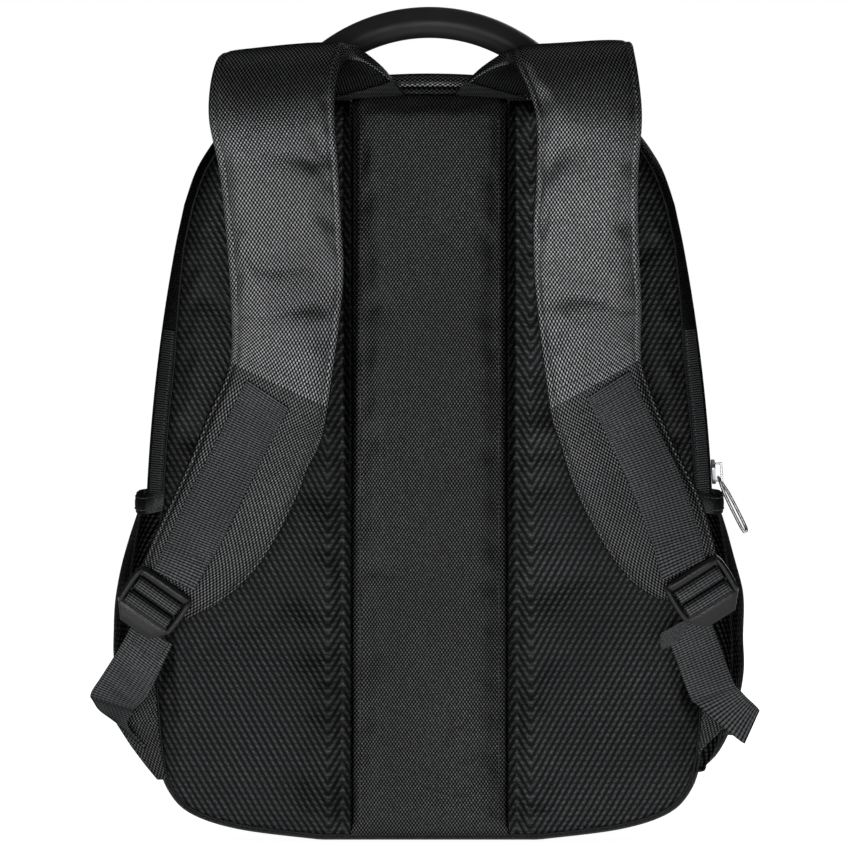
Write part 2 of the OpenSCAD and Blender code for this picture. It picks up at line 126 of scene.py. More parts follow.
def smooth(rows, n):
    """n points on each span of the smooth curve through the rows."""
    p = np.array(rows, float)
    out = []
    for i in range(len(p) - 1):
        a, b, c, d = p[max(i - 1, 0)], p[i], p[i + 1], p[min(i + 2, len(p) - 1)]
        for t in np.arange(n) / n:
            out.append(0.5 * (2 * b + (c - a) * t + (2 * a - 5 * b + 4 * c - d) * t**2
                              + (3 * b - a - 3 * c + d) * t**3))
    return np.array(out + [p[-1]])


def xyz(x, y, z):
    """Points whose coordinates are numbers, lines, or rows and columns of a grid."""
    return np.stack(np.broadcast_arrays(x, y, z), -1).astype(float)


def unit(v):
    return v / np.maximum(np.linalg.norm(v, axis=-1, keepdims=True), 1e-12)


def way_of(path):
    """The direction of a path at each of its points."""
    return unit(np.gradient(path, axis=0))


def ramp(value, start, length):
    """0 before start, rising evenly to 1 over the length after it."""
    return np.clip((value - start) / length, 0, 1)


def run_lengths(line):
    steps = np.linalg.norm(np.diff(line, axis=0), axis=-1)
    return np.concatenate([[0], np.cumsum(steps)])


def resample(rows, at, along):
    """Rows taken at the places at, where along is each row's own place."""
    return np.stack([np.interp(at, along, rows[:, k]) for k in range(rows.shape[1])], 1)


def even(rows, step):
    """The same line with its points about step apart."""
    place = run_lengths(rows)
    count = max(2, int(round(place[-1] / step)) + 1)
    return resample(rows, np.linspace(0, place[-1], count), place)


def body_outline(step):
    """The closed outline from the back, from the middle of the base round by the right side."""
    lean = np.linspace(ARC_LEAN, ARC_END, 24)
    arc_x = HALF_W - ARC_R * math.cos(ARC_LEAN)
    arc_z = FOLD_Z - ARC_R * math.sin(ARC_LEAN)
    arc = np.stack([arc_x + ARC_R * np.cos(lean), arc_z + ARC_R * np.sin(lean)], 1)
    half = np.concatenate([[[0, 0], [40, 0]], smooth(LOWER_SIDE, 8), arc, smooth(SHOULDER, 8),
                           [[0, TOP_Z]]])
    half = even(half, step)
    return np.concatenate([half, (half[1:-1] * [-1, 1])[::-1]])


OUTLINE = body_outline(4.0)
outline_way = np.roll(OUTLINE, -2, 0) - np.roll(OUTLINE, 2, 0)
OUTWARD = unit(np.stack([outline_way[:, 1], -outline_way[:, 0]], 1))
ABOVE_FOLD = np.nonzero(OUTLINE[:, 1] >= FOLD_Z)[0]
front_table = smooth(FRONT_LINE, 8)


def inset(d):
    """The outline moved inwards by d, which may differ from point to point."""
    return OUTLINE - OUTWARD * np.broadcast_to(np.reshape(d, (-1, 1)), (len(OUTLINE), 1))


def front_depth(z):
    """Depth of the front wall's outside at a height."""
    return np.interp(z, front_table[:, 0], front_table[:, 1])


def half_width(z, d=0.0):
    """Half width of the outline, inset by d, at a height."""
    line = inset(d)
    right = line[line[:, 0] >= 0]
    right = right[np.argsort(right[:, 1], kind="stable")]
    return np.interp(z, right[:, 1], right[:, 0])


# ---------- meshes ----------

UV = "Cloth"  # every new piece's UV map, in millimetres of cloth


def make_piece(name, points, faces, coords, paints, tags=None, sharp=50):
    """An object from points in millimetres. coords holds each face corner's UV."""
    mesh = bpy.data.meshes.new(name)
    mesh.from_pydata((np.asarray(points, float) * MM).tolist(), [], [list(f) for f in faces])
    layer = mesh.uv_layers.new(name=UV)
    layer.data.foreach_set("uv", np.asarray(coords, np.float32).ravel())
    for paint in paints if isinstance(paints, (list, tuple)) else [paints]:
        mesh.materials.append(paint)
    if tags is not None:
        mesh.polygons.foreach_set("material_index", np.asarray(tags, np.int32))
    work = bmesh.new()
    work.from_mesh(mesh)
    bmesh.ops.recalc_face_normals(work, faces=work.faces)
    work.to_mesh(mesh)
    work.free()
    mesh.polygons.foreach_set("use_smooth", np.ones(len(mesh.polygons), bool))
    mesh.set_sharp_from_angle(angle=math.radians(sharp))
    mesh.update()
    return add_object(name, mesh)


def grid_normals(p, wrap=False):
    down = np.roll(p, -1, 0) - np.roll(p, 1, 0) if wrap else np.gradient(p, axis=0)
    return unit(np.cross(down, np.gradient(p, axis=1)))


def cloth_coords(p, wrap=False):
    """Lengths along a grid's columns and rows, from the middle column, in millimetres."""
    rows = np.concatenate([p, p[:1]]) if wrap else p
    u = np.cumsum(np.linalg.norm(np.diff(rows, axis=1), axis=-1), axis=1)
    u = np.concatenate([np.zeros((len(rows), 1)), u], 1)
    middle = rows.shape[1] // 2
    u = u - u[:, middle:middle + 1]
    v = run_lengths(rows[:, middle])
    return np.stack([u, np.broadcast_to(v[:, None], u.shape)], -1)


def grid_quads(number, wrap):
    """Corner numbers of a grid's faces, and where each corner's UV is in the grid."""
    n, m = number.shape
    i, j = np.meshgrid(np.arange(n if wrap else n - 1), np.arange(m - 1), indexing="ij")
    rows = np.stack([i, i, i + 1, i + 1], -1).reshape(-1, 4)
    cols = np.stack([j, j + 1, j + 1, j], -1).reshape(-1, 4)
    return number[rows % n, cols], rows, cols


def shell(name, p, thick, paints, wrap=False, coords=None, sharp=50):
    """A closed sheet whose outside is the grid p. wrap joins its last row to its first. A
    second paint goes on its inside."""
    n, m = p.shape[:2]
    coords = cloth_coords(p, wrap) if coords is None else coords
    number = np.arange(n * m).reshape(n, m)
    inside = p - grid_normals(p, wrap) * thick
    outer, rows, cols = grid_quads(number, wrap)
    corner_uv = coords[rows, cols]
    faces, uvs = [outer, outer[:, ::-1] + n * m], [corner_uv, corner_uv[:, ::-1]]
    tags = [np.zeros(len(outer)), np.ones(len(outer))]
    ring = np.append(np.arange(n), 0) if wrap else np.arange(n)
    rims = [(number[ring, 0], coords[:, 0]), (number[ring, -1], coords[:, -1])]
    if not wrap:
        rims += [(number[0], coords[0]), (number[-1], coords[-1])]
    for line, line_uv in rims:
        faces.append(np.stack([line[:-1], line[1:], line[1:] + n * m, line[:-1] + n * m], 1))
        uvs.append(np.stack([line_uv[:-1], line_uv[1:], line_uv[1:], line_uv[:-1]], 1))
        tags.append(np.zeros(len(line) - 1))
    points = np.concatenate([p.reshape(-1, 3), inside.reshape(-1, 3)])
    lined = isinstance(paints, (list, tuple)) and len(paints) > 1
    return make_piece(name, points, np.concatenate(faces), np.concatenate(uvs), paints,
                      np.concatenate(tags) if lined else None, sharp)


def tube_parts(rings, closed=False, first=0):
    """Points, faces and UVs of a tube through rings of points, closed on itself or capped."""
    n, m = rings.shape[:2]
    number = np.arange(n * m).reshape(n, m) + first
    coords = cloth_coords(np.concatenate([rings, rings[:, :1]], 1), closed)
    quads, rows, cols = grid_quads(np.concatenate([number, number[:, :1]], 1), closed)
    faces = [list(f) for f in quads]
    uvs = list(coords[rows, cols].reshape(-1, 2))
    if not closed:
        for end in (0, -1):
            faces.append(list(number[end]))
            uvs.extend(coords[end, :m])
    return rings.reshape(-1, 3), faces, uvs


def tubes(name, many, paint, closed=False, sharp=50):
    """One object from several tubes."""
    points, faces, uvs, first = [], [], [], 0
    for rings in many:
        p, f, c = tube_parts(rings, closed, first)
        points.append(p)
        faces.extend(f)
        uvs.extend(c)
        first += len(p)
    return make_piece(name, np.concatenate(points), faces, np.array(uvs), paint, None, sharp)


def tube(name, rings, paint, closed=False, sharp=50):
    return tubes(name, [rings], paint, closed, sharp)


def sweep(path, section, up, closed=False):
    """Rings of the section, [sideways, upwards] points, carried along a path."""
    path = np.asarray(path, float)
    along = unit(np.roll(path, -1, 0) - np.roll(path, 1, 0)) if closed else way_of(path)
    side = unit(np.cross(along, np.broadcast_to(np.asarray(up, float), path.shape)))
    lift = np.cross(side, along)
    section = np.asarray(section, float)
    return path[:, None] + side[:, None] * section[..., :1] + lift[:, None] * section[..., 1:]


def signed_power(v, e):
    return np.sign(v) * np.abs(v) ** e


def round_section(half_w, half_h, n, square=1.0):
    """An oval of n points. square below 1 makes it more like a box."""
    a = np.arange(n) * 2 * math.pi / n + math.pi / n
    return np.stack([half_w * signed_power(np.cos(a), square),
                     half_h * signed_power(np.sin(a), square)], 1)


def swelling(section, half_w, half_h):
    """The section once for each half width and half height."""
    return section[None] * np.stack([half_w, half_h], 1)[:, None]


def wavy(points, size, scale, seed):
    """Smooth noise at each point, from -size to size, with humps about scale apart."""
    flat = np.asarray(points, float).reshape(-1, 3) / scale
    values = [noise.noise(Vector((x + seed * 7.3, y - seed * 3.1, z + seed))) for x, y, z in flat]
    return np.array(values).reshape(np.shape(points)[:-1]) * size


def dress(piece, body, slot, *nodes):
    """A finished piece rides on a body, or stays put where body is a bend, and stands for
    CAD nodes. slot is not used.
    """
    if isinstance(body, tuple):
        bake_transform(piece)
    else:
        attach(piece, body)
    if nodes:
        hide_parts(*nodes)
    return piece


SPINDLE = np.array([[-1, 0, 0], [0, 1, 0], [0, 0, 1], [0, -1, 0], [0, 0, -1], [1, 0, 0]], float)
STITCH_REACH = 0.6  # how far either side of a stitch its line's direction is taken


def stitches(name, lines, body, pitch=3.4, length=2.5, thick=0.45):
    """Stitches as little spindles along lines, each given as (points, outward directions)."""
    points, faces = [], []
    for line, out in lines:
        line = np.asarray(line, float)
        place = run_lengths(line)
        at = np.arange(pitch / 2, place[-1], pitch)
        middle = resample(line, at, place)
        up = unit(resample(np.broadcast_to(np.asarray(out, float), line.shape), at, place))
        along = unit(resample(line, at + STITCH_REACH, place)
                     - resample(line, at - STITCH_REACH, place))
        side = np.cross(up, along)
        for c, a, s, u in zip(middle, along, side, up):
            first = len(points) * len(SPINDLE)
            points.append(c + SPINDLE[:, :1] * a * length / 2 + SPINDLE[:, 1:2] * s * thick
                          + SPINDLE[:, 2:] * u * thick)
            for k in range(4):
                b, d = first + 1 + k, first + 1 + (k + 1) % 4
                faces += [[first, b, d], [first + 5, d, b]]
    coords = np.zeros((len(faces) * 3, 2))
    piece = make_piece(name, np.concatenate(points), faces, coords, THREAD, None, 180)
    return dress(piece, body, "binding")


def piping(name, path, radius, body, up=(0, 1, 0), closed=False):
    """A round cord of binding along a seam."""
    rings = sweep(path, round_section(radius, radius, 8), up, closed)
    return dress(tube(name, rings, BINDING, closed), body, "binding")


def coordinates(mesh):
    """A mesh's points, in millimetres."""
    co = np.zeros(len(mesh.vertices) * 3)
    mesh.vertices.foreach_get("co", co)
    return co.reshape(-1, 3) / MM


def put_coordinates(mesh, points):
    mesh.vertices.foreach_set("co", (points * MM).ravel())
    mesh.update()


def flatten_inside(piece, axis, place):
    """Puts the inside of a sheet made with no thickness at a place along an axis."""
    points = coordinates(piece.data)
    points[len(points) // 2:, axis] = place
    put_coordinates(piece.data, points)


STIFF_CLOTH = {"quality": 6, "mass": 0.2, "tension_stiffness": 25, "compression_stiffness": 25,
               "shear_stiffness": 8, "bending_stiffness": 1.5}
FRAMES = 14


def settle(piece, free, cap, pressure=2.5, spare=0.03):
    """Fills a closed piece with cloth simulation and puts the result in its mesh. free says how
    much of the move each point takes, from 0 to 1, and points past its end stay. cap is the most
    that a point moves, in millimetres."""
    before = coordinates(piece.data)
    free = np.asarray(free, float).ravel()
    free = np.append(free, np.zeros(len(before) - len(free)))
    held = piece.vertex_groups.new(name="held")
    held.add(np.nonzero(free <= 0.01)[0].tolist(), 1.0, "REPLACE")
    cloth = piece.modifiers.new("cloth", "CLOTH")
    for key, value in STIFF_CLOTH.items():
        setattr(cloth.settings, key, value)
    cloth.settings.shrink_min = -spare
    cloth.settings.use_pressure = True
    cloth.settings.uniform_pressure_force = pressure
    cloth.settings.vertex_group_mass = "held"
    cloth.settings.effector_weights.gravity = 0
    cloth.point_cache.frame_start = 1
    cloth.point_cache.frame_end = FRAMES
    for frame_number in range(1, FRAMES + 1):
        bpy.context.scene.frame_set(frame_number)
    filled = piece.evaluated_get(bpy.context.evaluated_depsgraph_get())
    move = (coordinates(filled.data) - before) * free[:, None]
    piece.modifiers.remove(cloth)
    piece.vertex_groups.remove(held)
    bpy.context.scene.frame_set(1)
    far = np.maximum(np.linalg.norm(move, axis=1, keepdims=True), 1e-9)
    put_coordinates(piece.data, before + move / far * cap * np.tanh(far / cap))


def cloth_wall(name, grid, thick, paints, body, rests_on, *nodes, wrap=False):
    """A stretched sheet of woven cloth that stands for CAD nodes."""
    wall = shell(name, grid, thick, paints, wrap)
    dress(wall, body, "woven_fabric", *nodes)


# Cloth that goes from the bag to the flap is given the bag, the flap and two points just above the
# fold; it does not bend, and stays where it is made.
BEND_TOP_Z = 250.0
FLAP_BEND = ("bag", "flap", (0, FRONT_Y * MM, FOLD_Z * MM), (0, FRONT_Y * MM, BEND_TOP_Z * MM))

# ---------- materials ----------


def grey(level, tint=0.03):
    """A near-neutral grey with a slight cool tint."""
    return (level * (1 - tint), level, level * (1 + tint))


class Nodes:
    """One material's nodes. A value is a number or another node's output."""

    def __init__(self, name, **shader):
        self.material = bpy.data.materials.new(name)
        self.material.use_nodes = True
        self.tree = self.material.node_tree
        self.shader = self.tree.nodes["Principled BSDF"]
        for socket, value in shader.items():
            self.shader.inputs[socket.replace("_", " ")].default_value = value

    def add(self, kind, **settings):
        node = self.tree.nodes.new(kind)
        for key, value in settings.items():
            setattr(node, key, value)
        return node

    def put(self, socket, value):
        if isinstance(value, bpy.types.NodeSocket):
            self.tree.links.new(value, socket)
        else:
            socket.default_value = value

    def math(self, operation, *values):
        node = self.add("ShaderNodeMath", operation=operation)
        for socket, value in zip(node.inputs, values):
            self.put(socket, value)
        return node.outputs[0]

    def wave(self, value, pitch):
        """Humps from 0 to 1 that repeat every pitch."""
        turned = self.math("MULTIPLY", self.math("DIVIDE", value, pitch), math.pi)
        return self.math("ABSOLUTE", self.math("SINE", turned))

    def cloth(self):
        """The piece's own cloth coordinates, in millimetres."""
        node = self.add("ShaderNodeUVMap", uv_map=UV)
        parts = self.add("ShaderNodeSeparateXYZ")
        self.put(parts.inputs[0], node.outputs[0])
        return parts.outputs[0], parts.outputs[1]

    def steep(self, value, low, high):
        """The value stretched so that low becomes 0 and high becomes 1."""
        node = self.add("ShaderNodeMapRange", clamp=True)
        self.put(node.inputs["Value"], value)
        node.inputs["From Min"].default_value = low
        node.inputs["From Max"].default_value = high
        return node.outputs[0]

    def noise(self, scale, detail=3.0, low=0.35, high=0.65):
        """Smooth noise over the piece, stretched to run from 0 to 1."""
        place = self.add("ShaderNodeTexCoord")
        node = self.add("ShaderNodeTexNoise")
        self.put(node.inputs["Vector"], place.outputs["Object"])
        node.inputs["Scale"].default_value = scale
        node.inputs["Detail"].default_value = detail
        return self.steep(node.outputs[0], low, high)

    def mix(self, share, low, high):
        """A colour between low and high."""
        node = self.add("ShaderNodeMix", data_type="RGBA")
        self.put(node.inputs["Factor"], share)
        for socket, value in ((node.inputs[6], low), (node.inputs[7], high)):
            self.put(socket, (*value, 1) if isinstance(value, tuple) else value)
        return node.outputs[2]

    def finish(self, colour, height, depth=0.3, strength=1.0, rough=None):
        """Colour, and a bump of some depth in millimetres, onto the shader."""
        self.put(self.shader.inputs["Base Color"], colour)
        bump = self.add("ShaderNodeBump")
        bump.inputs["Strength"].default_value = strength
        bump.inputs["Distance"].default_value = depth * MM
        self.put(bump.inputs["Height"], height)
        self.put(self.shader.inputs["Normal"], bump.outputs[0])
        if rough is not None:
            self.put(self.shader.inputs["Roughness"], rough)
        return self.material

    def yarn(self, lit, dark, light, patch, fibre, height, depth, tint=0.03):
        """Threads that are dark where lit is 0. patch is the soft patches' (scale, detail, low
        level), which are painted sheen, and fibre is the single fibres' (scale, low level)."""
        # painted sheen: soft random patches from the low level up to 1.2 times the light colour
        painted_sheen = self.mix(self.noise(patch[0], patch[1]), grey(light * patch[2], tint),
                        grey(light * 1.2, tint))
        thread = self.mix(self.noise(fibre[0], 2.0), grey(light * fibre[1], tint), painted_sheen)
        return self.finish(self.mix(lit, grey(dark, tint), thread), height, depth)


# Black threads shine in their own colour, so that holes stay dark, and their edges stay dark too.
SHINE = {"Metallic": 1.0, "Specular_Tint": (0.25, 0.25, 0.25, 1)}


def woven(name, dark, light, pitch=2.15, row=1.52, rough=0.38, depth=0.15):
    """Heavy staggered weave: rounded shiny threads with dark holes between them."""
    n = Nodes(name, Roughness=rough, **SHINE)
    u, v = n.cloth()
    across = n.math("SINE", n.math("MULTIPLY", u, 2 * math.pi / pitch))
    along = n.math("SINE", n.math("MULTIPLY", v, math.pi / row))
    height = n.math("MULTIPLY_ADD", n.math("MULTIPLY", across, along), 0.5, 0.5)
    return n.yarn(n.steep(height, 0.4, 0.9), dark, light, (9.0, 4.0, 0.8), (700.0, 0.6), height,
                  depth, 0.02)


def spacer(name, dark, light, across=4.0, down=3.34, slant=-0.556, depth=0.38, knots=0.6):
    """Spacer mesh: long beads in slanting lanes, with dark holes between them. knots says how
    much the lanes narrow between beads."""
    n = Nodes(name, Roughness=0.45, **SHINE)
    u, v = n.cloth()
    lane = n.math("DIVIDE", n.math("MULTIPLY_ADD", v, slant, u), across)
    bead = n.math("MULTIPLY_ADD", n.wave(v, down), knots, 1 - knots)
    height = n.math("MULTIPLY", n.math("POWER", n.wave(lane, 1.0), 2.0), bead)
    fuzz = n.wave(n.math("ADD", u, v), 0.9)
    lit = n.math("MULTIPLY", n.steep(height, 0.1, 1.0), n.math("MULTIPLY_ADD", fuzz, 0.35, 0.65))
    return n.yarn(lit, dark, light, (14.0, 3.0, 0.75), (900.0, 0.45), height, depth)


def ribbed(name, dark, light, pitch=1.55, columns=2.6, depth=0.14):
    """Webbing or tape: fine ribs across it and faint columns along it."""
    n = Nodes(name, Roughness=0.42, **SHINE)
    u, v = n.cloth()
    rib = n.math("POWER", n.wave(v, pitch), 0.9)
    height = n.math("MULTIPLY_ADD", n.wave(u, columns), 0.25, n.math("MULTIPLY", rib, 0.75))
    return n.yarn(n.steep(height, 0.35, 0.95), dark, light, (20.0, 3.0, 0.8), (800.0, 0.7),
                  height, depth)


def moulded(name, low, high, rough=0.4, grain=900.0, depth=0.05, gloss=0.5):
    """Moulded plastic or rubber, with fine grain and a painted highlight that lightens its sharp
    outer edges.
    """
    n = Nodes(name, Specular_IOR_Level=gloss)
    # painted highlight: the colour goes lighter on sharp outer edges
    painted_sheen = n.steep(n.add("ShaderNodeNewGeometry").outputs["Pointiness"], 0.53, 0.62)
    colour = n.mix(painted_sheen, n.mix(n.noise(25.0), grey(low), grey(high)), grey(high * 2.2))
    blotch = n.math("MULTIPLY_ADD", n.noise(60.0), 0.12, rough - 0.06)
    return n.finish(colour, n.noise(grain, 2.0, 0.3, 0.7), depth, 0.5, blotch)


def metal(name, rough=0.26):
    """Bright plated metal with faint brushing and duller patches."""
    n = Nodes(name, Metallic=1.0)
    patch = n.noise(140.0, 4.0)
    colour = n.mix(patch, (0.5, 0.51, 0.53), (0.7, 0.7, 0.72))
    blotch = n.math("MULTIPLY_ADD", patch, 0.14, rough - 0.05)
    return n.finish(colour, n.noise(1500.0, 2.0), 0.02, 0.4, blotch)


WOVEN = woven("woven_fabric", 0.004, 0.36)
WOVEN_TURNED = woven("woven_fabric_lower", 0.003, 0.18)
WOVEN_CENTRE = woven("woven_fabric_centre", 0.005, 0.12, pitch=1.98, row=1.41)
WOVEN_DARK = woven("woven_fabric_dark", 0.004, 0.08)
WOVEN_BODY = woven("woven_fabric_body", 0.004, 0.2)
MESH = spacer("spacer_mesh", 0.01, 0.085, depth=0.26)
MESH_FINE = spacer("spacer_mesh_fine", 0.002, 0.04, across=1.8, down=2.1, slant=0.3, depth=0.2)
POCKET_MESH = spacer("pocket_mesh", 0.002, 0.05, across=4.6, down=3.1, slant=0.55, knots=0.75)
WEBBING = ribbed("webbing", 0.002, 0.1)
WEBBING_DARK = ribbed("webbing_dark", 0.003, 0.03, pitch=1.3)
TAPE = ribbed("zip_tape", 0.003, 0.12, pitch=1.4, columns=2.0)
BINDING = ribbed("binding", 0.003, 0.07, pitch=0.9, columns=50.0, depth=0.08)
LINING = woven("lining", 0.03, 0.09, pitch=0.8, row=0.5, rough=0.55, depth=0.08)
THREAD = moulded("thread", 0.012, 0.03, rough=0.5, grain=2500.0)
GRIP = moulded("moulded_grip", 0.012, 0.02, rough=0.56, grain=700.0, depth=0.04)
PLASTIC = moulded("black_plastic", 0.007, 0.013, rough=0.24, gloss=0.3)
COIL = moulded("zip_coil", 0.004, 0.007, rough=0.35)
CHROME = metal("chrome_metal")

# ---------- body ----------

WALL_T = 2.6
BACK_T = 2.0
FRONT_INSET = 21.0
ROUNDING = 46.0  # depth over which the gusset turns in to the front seam
TAPE_INSET = 1.7  # so that the teeth stay inside the outline
TAPE_GAP = 0.3  # from the zip's middle to each tape
BAND_TOP_Z = 312.0
BAND_STAND = 0.8  # how far the band stands off the gusset
STRAPS_LOW_Z, STRAPS_HALF_W = 430, 100  # where the strap roots cross the back's top edge


def pad_inset(z):
    """How far inside the outline the back pads end, which is most above the side pockets."""
    return 4.5 + 6.5 * ramp(z, 140, 70) - 5 * ramp(z, 290, 70)


BACK_INSET = pad_inset(OUTLINE[:, 1])


def outline_grid(depths, insets):
    """A grid round the outline: depths and insets are [point, column]."""
    lines = [inset(column) for column in insets.T]
    return np.stack([xyz(line[:, 0], depth, line[:, 1]) for line, depth in zip(lines, depths.T)],
                    1)


def rear_gusset_grid(n=9):
    # its front edge is at the zip's rear tape above the fold, and beyond the zip below it
    end = np.interp(OUTLINE[:, 1], [FOLD_Z - 9, FOLD_Z + 1], [ZIP_Y + TAPE_W, ZIP_Y - TAPE_W])
    depth = BACK_Y + (end[:, None] - BACK_Y) * np.linspace(0, 1, n)
    return outline_grid(depth, BACK_INSET[:, None] * ramp(depth, ZIP_Y - TAPE_W, -20) ** 1.5)


def seam_line():
    """The front seam: [x, y, z] round the front wall."""
    line = inset(FRONT_INSET)
    return xyz(line[:, 0], front_depth(line[:, 1]), line[:, 1])


def front_gusset_grid(n=26):
    end = seam_line()[:, 1]
    start = ZIP_Y + TAPE_W
    depth = start + (end[:, None] - start) * np.linspace(0, 1, n)
    turn_in = np.clip((depth - end[:, None]) / ROUNDING + 1, 0, 1)
    return outline_grid(depth, FRONT_INSET * turn_in**2.4)


def tape_grid(y0, y1, n=4):
    depth = np.broadcast_to(np.linspace(y0, y1, n), (len(OUTLINE), n))
    return outline_grid(depth, np.full(depth.shape, TAPE_INSET))[ABOVE_FOLD]


def make_side_bands(gusset):
    """A ribbed band down each edge of the back, sewn along its inner edge."""
    for sign, name in SIDES:
        tall = (OUTLINE[:, 1] > FOLD_Z) & (OUTLINE[:, 1] < BAND_TOP_Z)
        grid = gusset[(OUTLINE[:, 0] * sign > 0) & tall][:, :6]
        grid = grid - grid_normals(grid) * BAND_STAND
        dress(shell(f"side_band_{name}", grid, -1.0, TAPE), "bag", "binding")
        line = grid[:, 1] - [0, 0.4, 0]
        stitches(f"side_band_stitches_{name}", [(line, (-0.3 * sign, -1, 0))], "bag", 2.6, 1.9)


def make_gussets():
    grid = rear_gusset_grid()
    cloth_wall("rear_gusset", grid, -WALL_T, [WOVEN_DARK, LINING], "bag", "back_panel",
               "rear_band", wrap=True)
    make_side_bands(grid)
    grid = front_gusset_grid()
    creases = wavy(grid, 2.2, 55, 1) * np.sin(np.linspace(0, math.pi, grid.shape[1]))
    grid = grid - grid_normals(grid, True) * creases[..., None]
    cloth_wall("front_gusset", grid, -WALL_T, [WOVEN_BODY, LINING], FLAP_BEND, "base_panel",
               "side_panel_left", "side_panel_right", "base_panel", "flap_band", wrap=True)


def make_front_wall():
    seam = seam_line()
    low, high = seam[:, 2].min() + 0.5, seam[:, 2].max() - 0.5
    share = np.linspace(0, 1, 90)
    z = low + (high - low) * (0.5 - 0.5 * np.cos(math.pi * share)) * 0.35 \
        + (high - low) * share * 0.65
    a = np.linspace(-1, 1, 41)
    rows = z[:, None]
    wall = xyz(half_width(z, FRONT_INSET)[:, None] * a,
               front_depth(rows) + 1.2 * (1 - a**4), rows)
    creases = wavy(wall, 1.6, 70, 2) * (1 - a**6)
    wall = wall + grid_normals(wall) * creases[..., None]
    cloth_wall("front_wall", wall, WALL_T, [WOVEN_BODY, LINING], FLAP_BEND, "front_panel",
               "front_panel", "flap_panel")
    near = inset(FRONT_INSET + 5.5)
    line = xyz(near[:, 0], front_depth(near[:, 1]) + 0.9, near[:, 1])
    stitches("front_wall_stitches", [(line, (0, 1, 0))], FLAP_BEND)
    piping("front_piping", seam + [0, 0.4, 0], 1.9, FLAP_BEND, closed=True)


def make_back():
    back = inset(BACK_INSET)
    rim = xyz(back[:, 0], BACK_Y - 0.6, back[:, 1])
    rim = np.roll(rim, -(len(rim) // 2), 0)
    clear_of_straps = (rim[:, 2] < STRAPS_LOW_Z) | (np.abs(rim[:, 0]) > STRAPS_HALF_W)
    piping("back_piping", rim[clear_of_straps], 1.2, "bag")
    z = np.linspace(back[:, 1].min() + 1, back[:, 1].max() - 0.5, 60)
    panel = xyz(half_width(z, BACK_INSET)[:, None] * np.linspace(-1, 1, 25), BACK_Y, z[:, None])
    cloth_wall("back_sheet", panel, -BACK_T, [WOVEN_CENTRE, LINING], "bag", "back_panel",
               "back_panel")


def tooth(at, side, out, along, root, rise, half_t):
    """A zip tooth. root is its foot's [sideways, outwards] place, and rise is its head's."""
    path = [at + side * root[0] + out * root[1], at + side * 1.2 + out * rise,
            at - side * 0.7 + out * rise]
    return sweep(path, round_section(0.62, half_t, 5), along)


def zip_teeth(name, teeth, body):
    dress(tubes(name, teeth, COIL, sharp=180), body, "zip_tape")


def make_main_zip():
    halves = (("rear", 0, ZIP_Y - TAPE_W, ZIP_Y - TAPE_GAP, "bag"),
              ("front", 1, ZIP_Y + TAPE_GAP, ZIP_Y + TAPE_W, FLAP_BEND))
    for name, _, y0, y1, body in halves:
        tape = shell(f"zip_tape_{name}", tape_grid(y0, y1), -1.0, TAPE)
        dress(tape, body, "zip_tape", f"main_zip_{name}_tape")
    line = even(inset(TAPE_INSET)[ABOVE_FOLD], 1.5)
    along = xyz(way_of(line)[:, 0], 0, way_of(line)[:, 1])
    out = along[:, ::-1] * [1, 1, -1]
    middle = xyz(line[:, 0], ZIP_Y, line[:, 1])
    for name, first, _, _, body in halves:
        side = np.array([0.0, 1.0 if first else -1.0, 0.0])
        teeth = [tooth(middle[k], side, out[k], along[k], (2.6, 0.2), 0.9, 0.55)
                 for k in range(first, len(line), 2)]
        zip_teeth(f"zip_teeth_{name}", teeth, body)


# ---------- back padding ----------

CHANNEL_X = 52.5  # the bottom of the fold between a back pad and the centre panel
PAD_TOP_Z = 446.0
TURN_W = 8.0  # width beside the fold over which the mesh's lanes slant the other way
PAD_GAP = 0.6  # between a back pad and the back's edge
CENTRE_LOW_Z, CENTRE_TOP_Z, CENTRE_CORNER = 4.8, 449.0, 5.0
ROOT_SEAM_Z = 451.5
ROLL_HALF_W = 58.0
ROLL_SEEN_HALF_W = 20.0  # what shows of the roll between the strap roots


def crown(distance, width):
    """0 at an edge, rising in a rounded way to 1 at width from it."""
    return np.sqrt(np.clip(1 - (1 - ramp(distance, 0, width)) ** 2, 0, 1))


def edge_distance(points, line):
    """Distance of [x, z] points from a closed line."""
    run = np.roll(line, -1, 0) - line
    rel = points[..., None, :] - line
    share = np.clip(np.sum(rel * run, -1) / np.maximum(np.sum(run * run, -1), 1e-9), 0, 1)
    return np.min(np.linalg.norm(rel - run * share[..., None], axis=-1), -1)


def lane_place(x):
    """Place across the mesh, which turns back beside the fold so that its lanes meet in points."""
    return np.where(x < 0, x, np.where(x < TURN_W, -x, x - 2 * TURN_W))


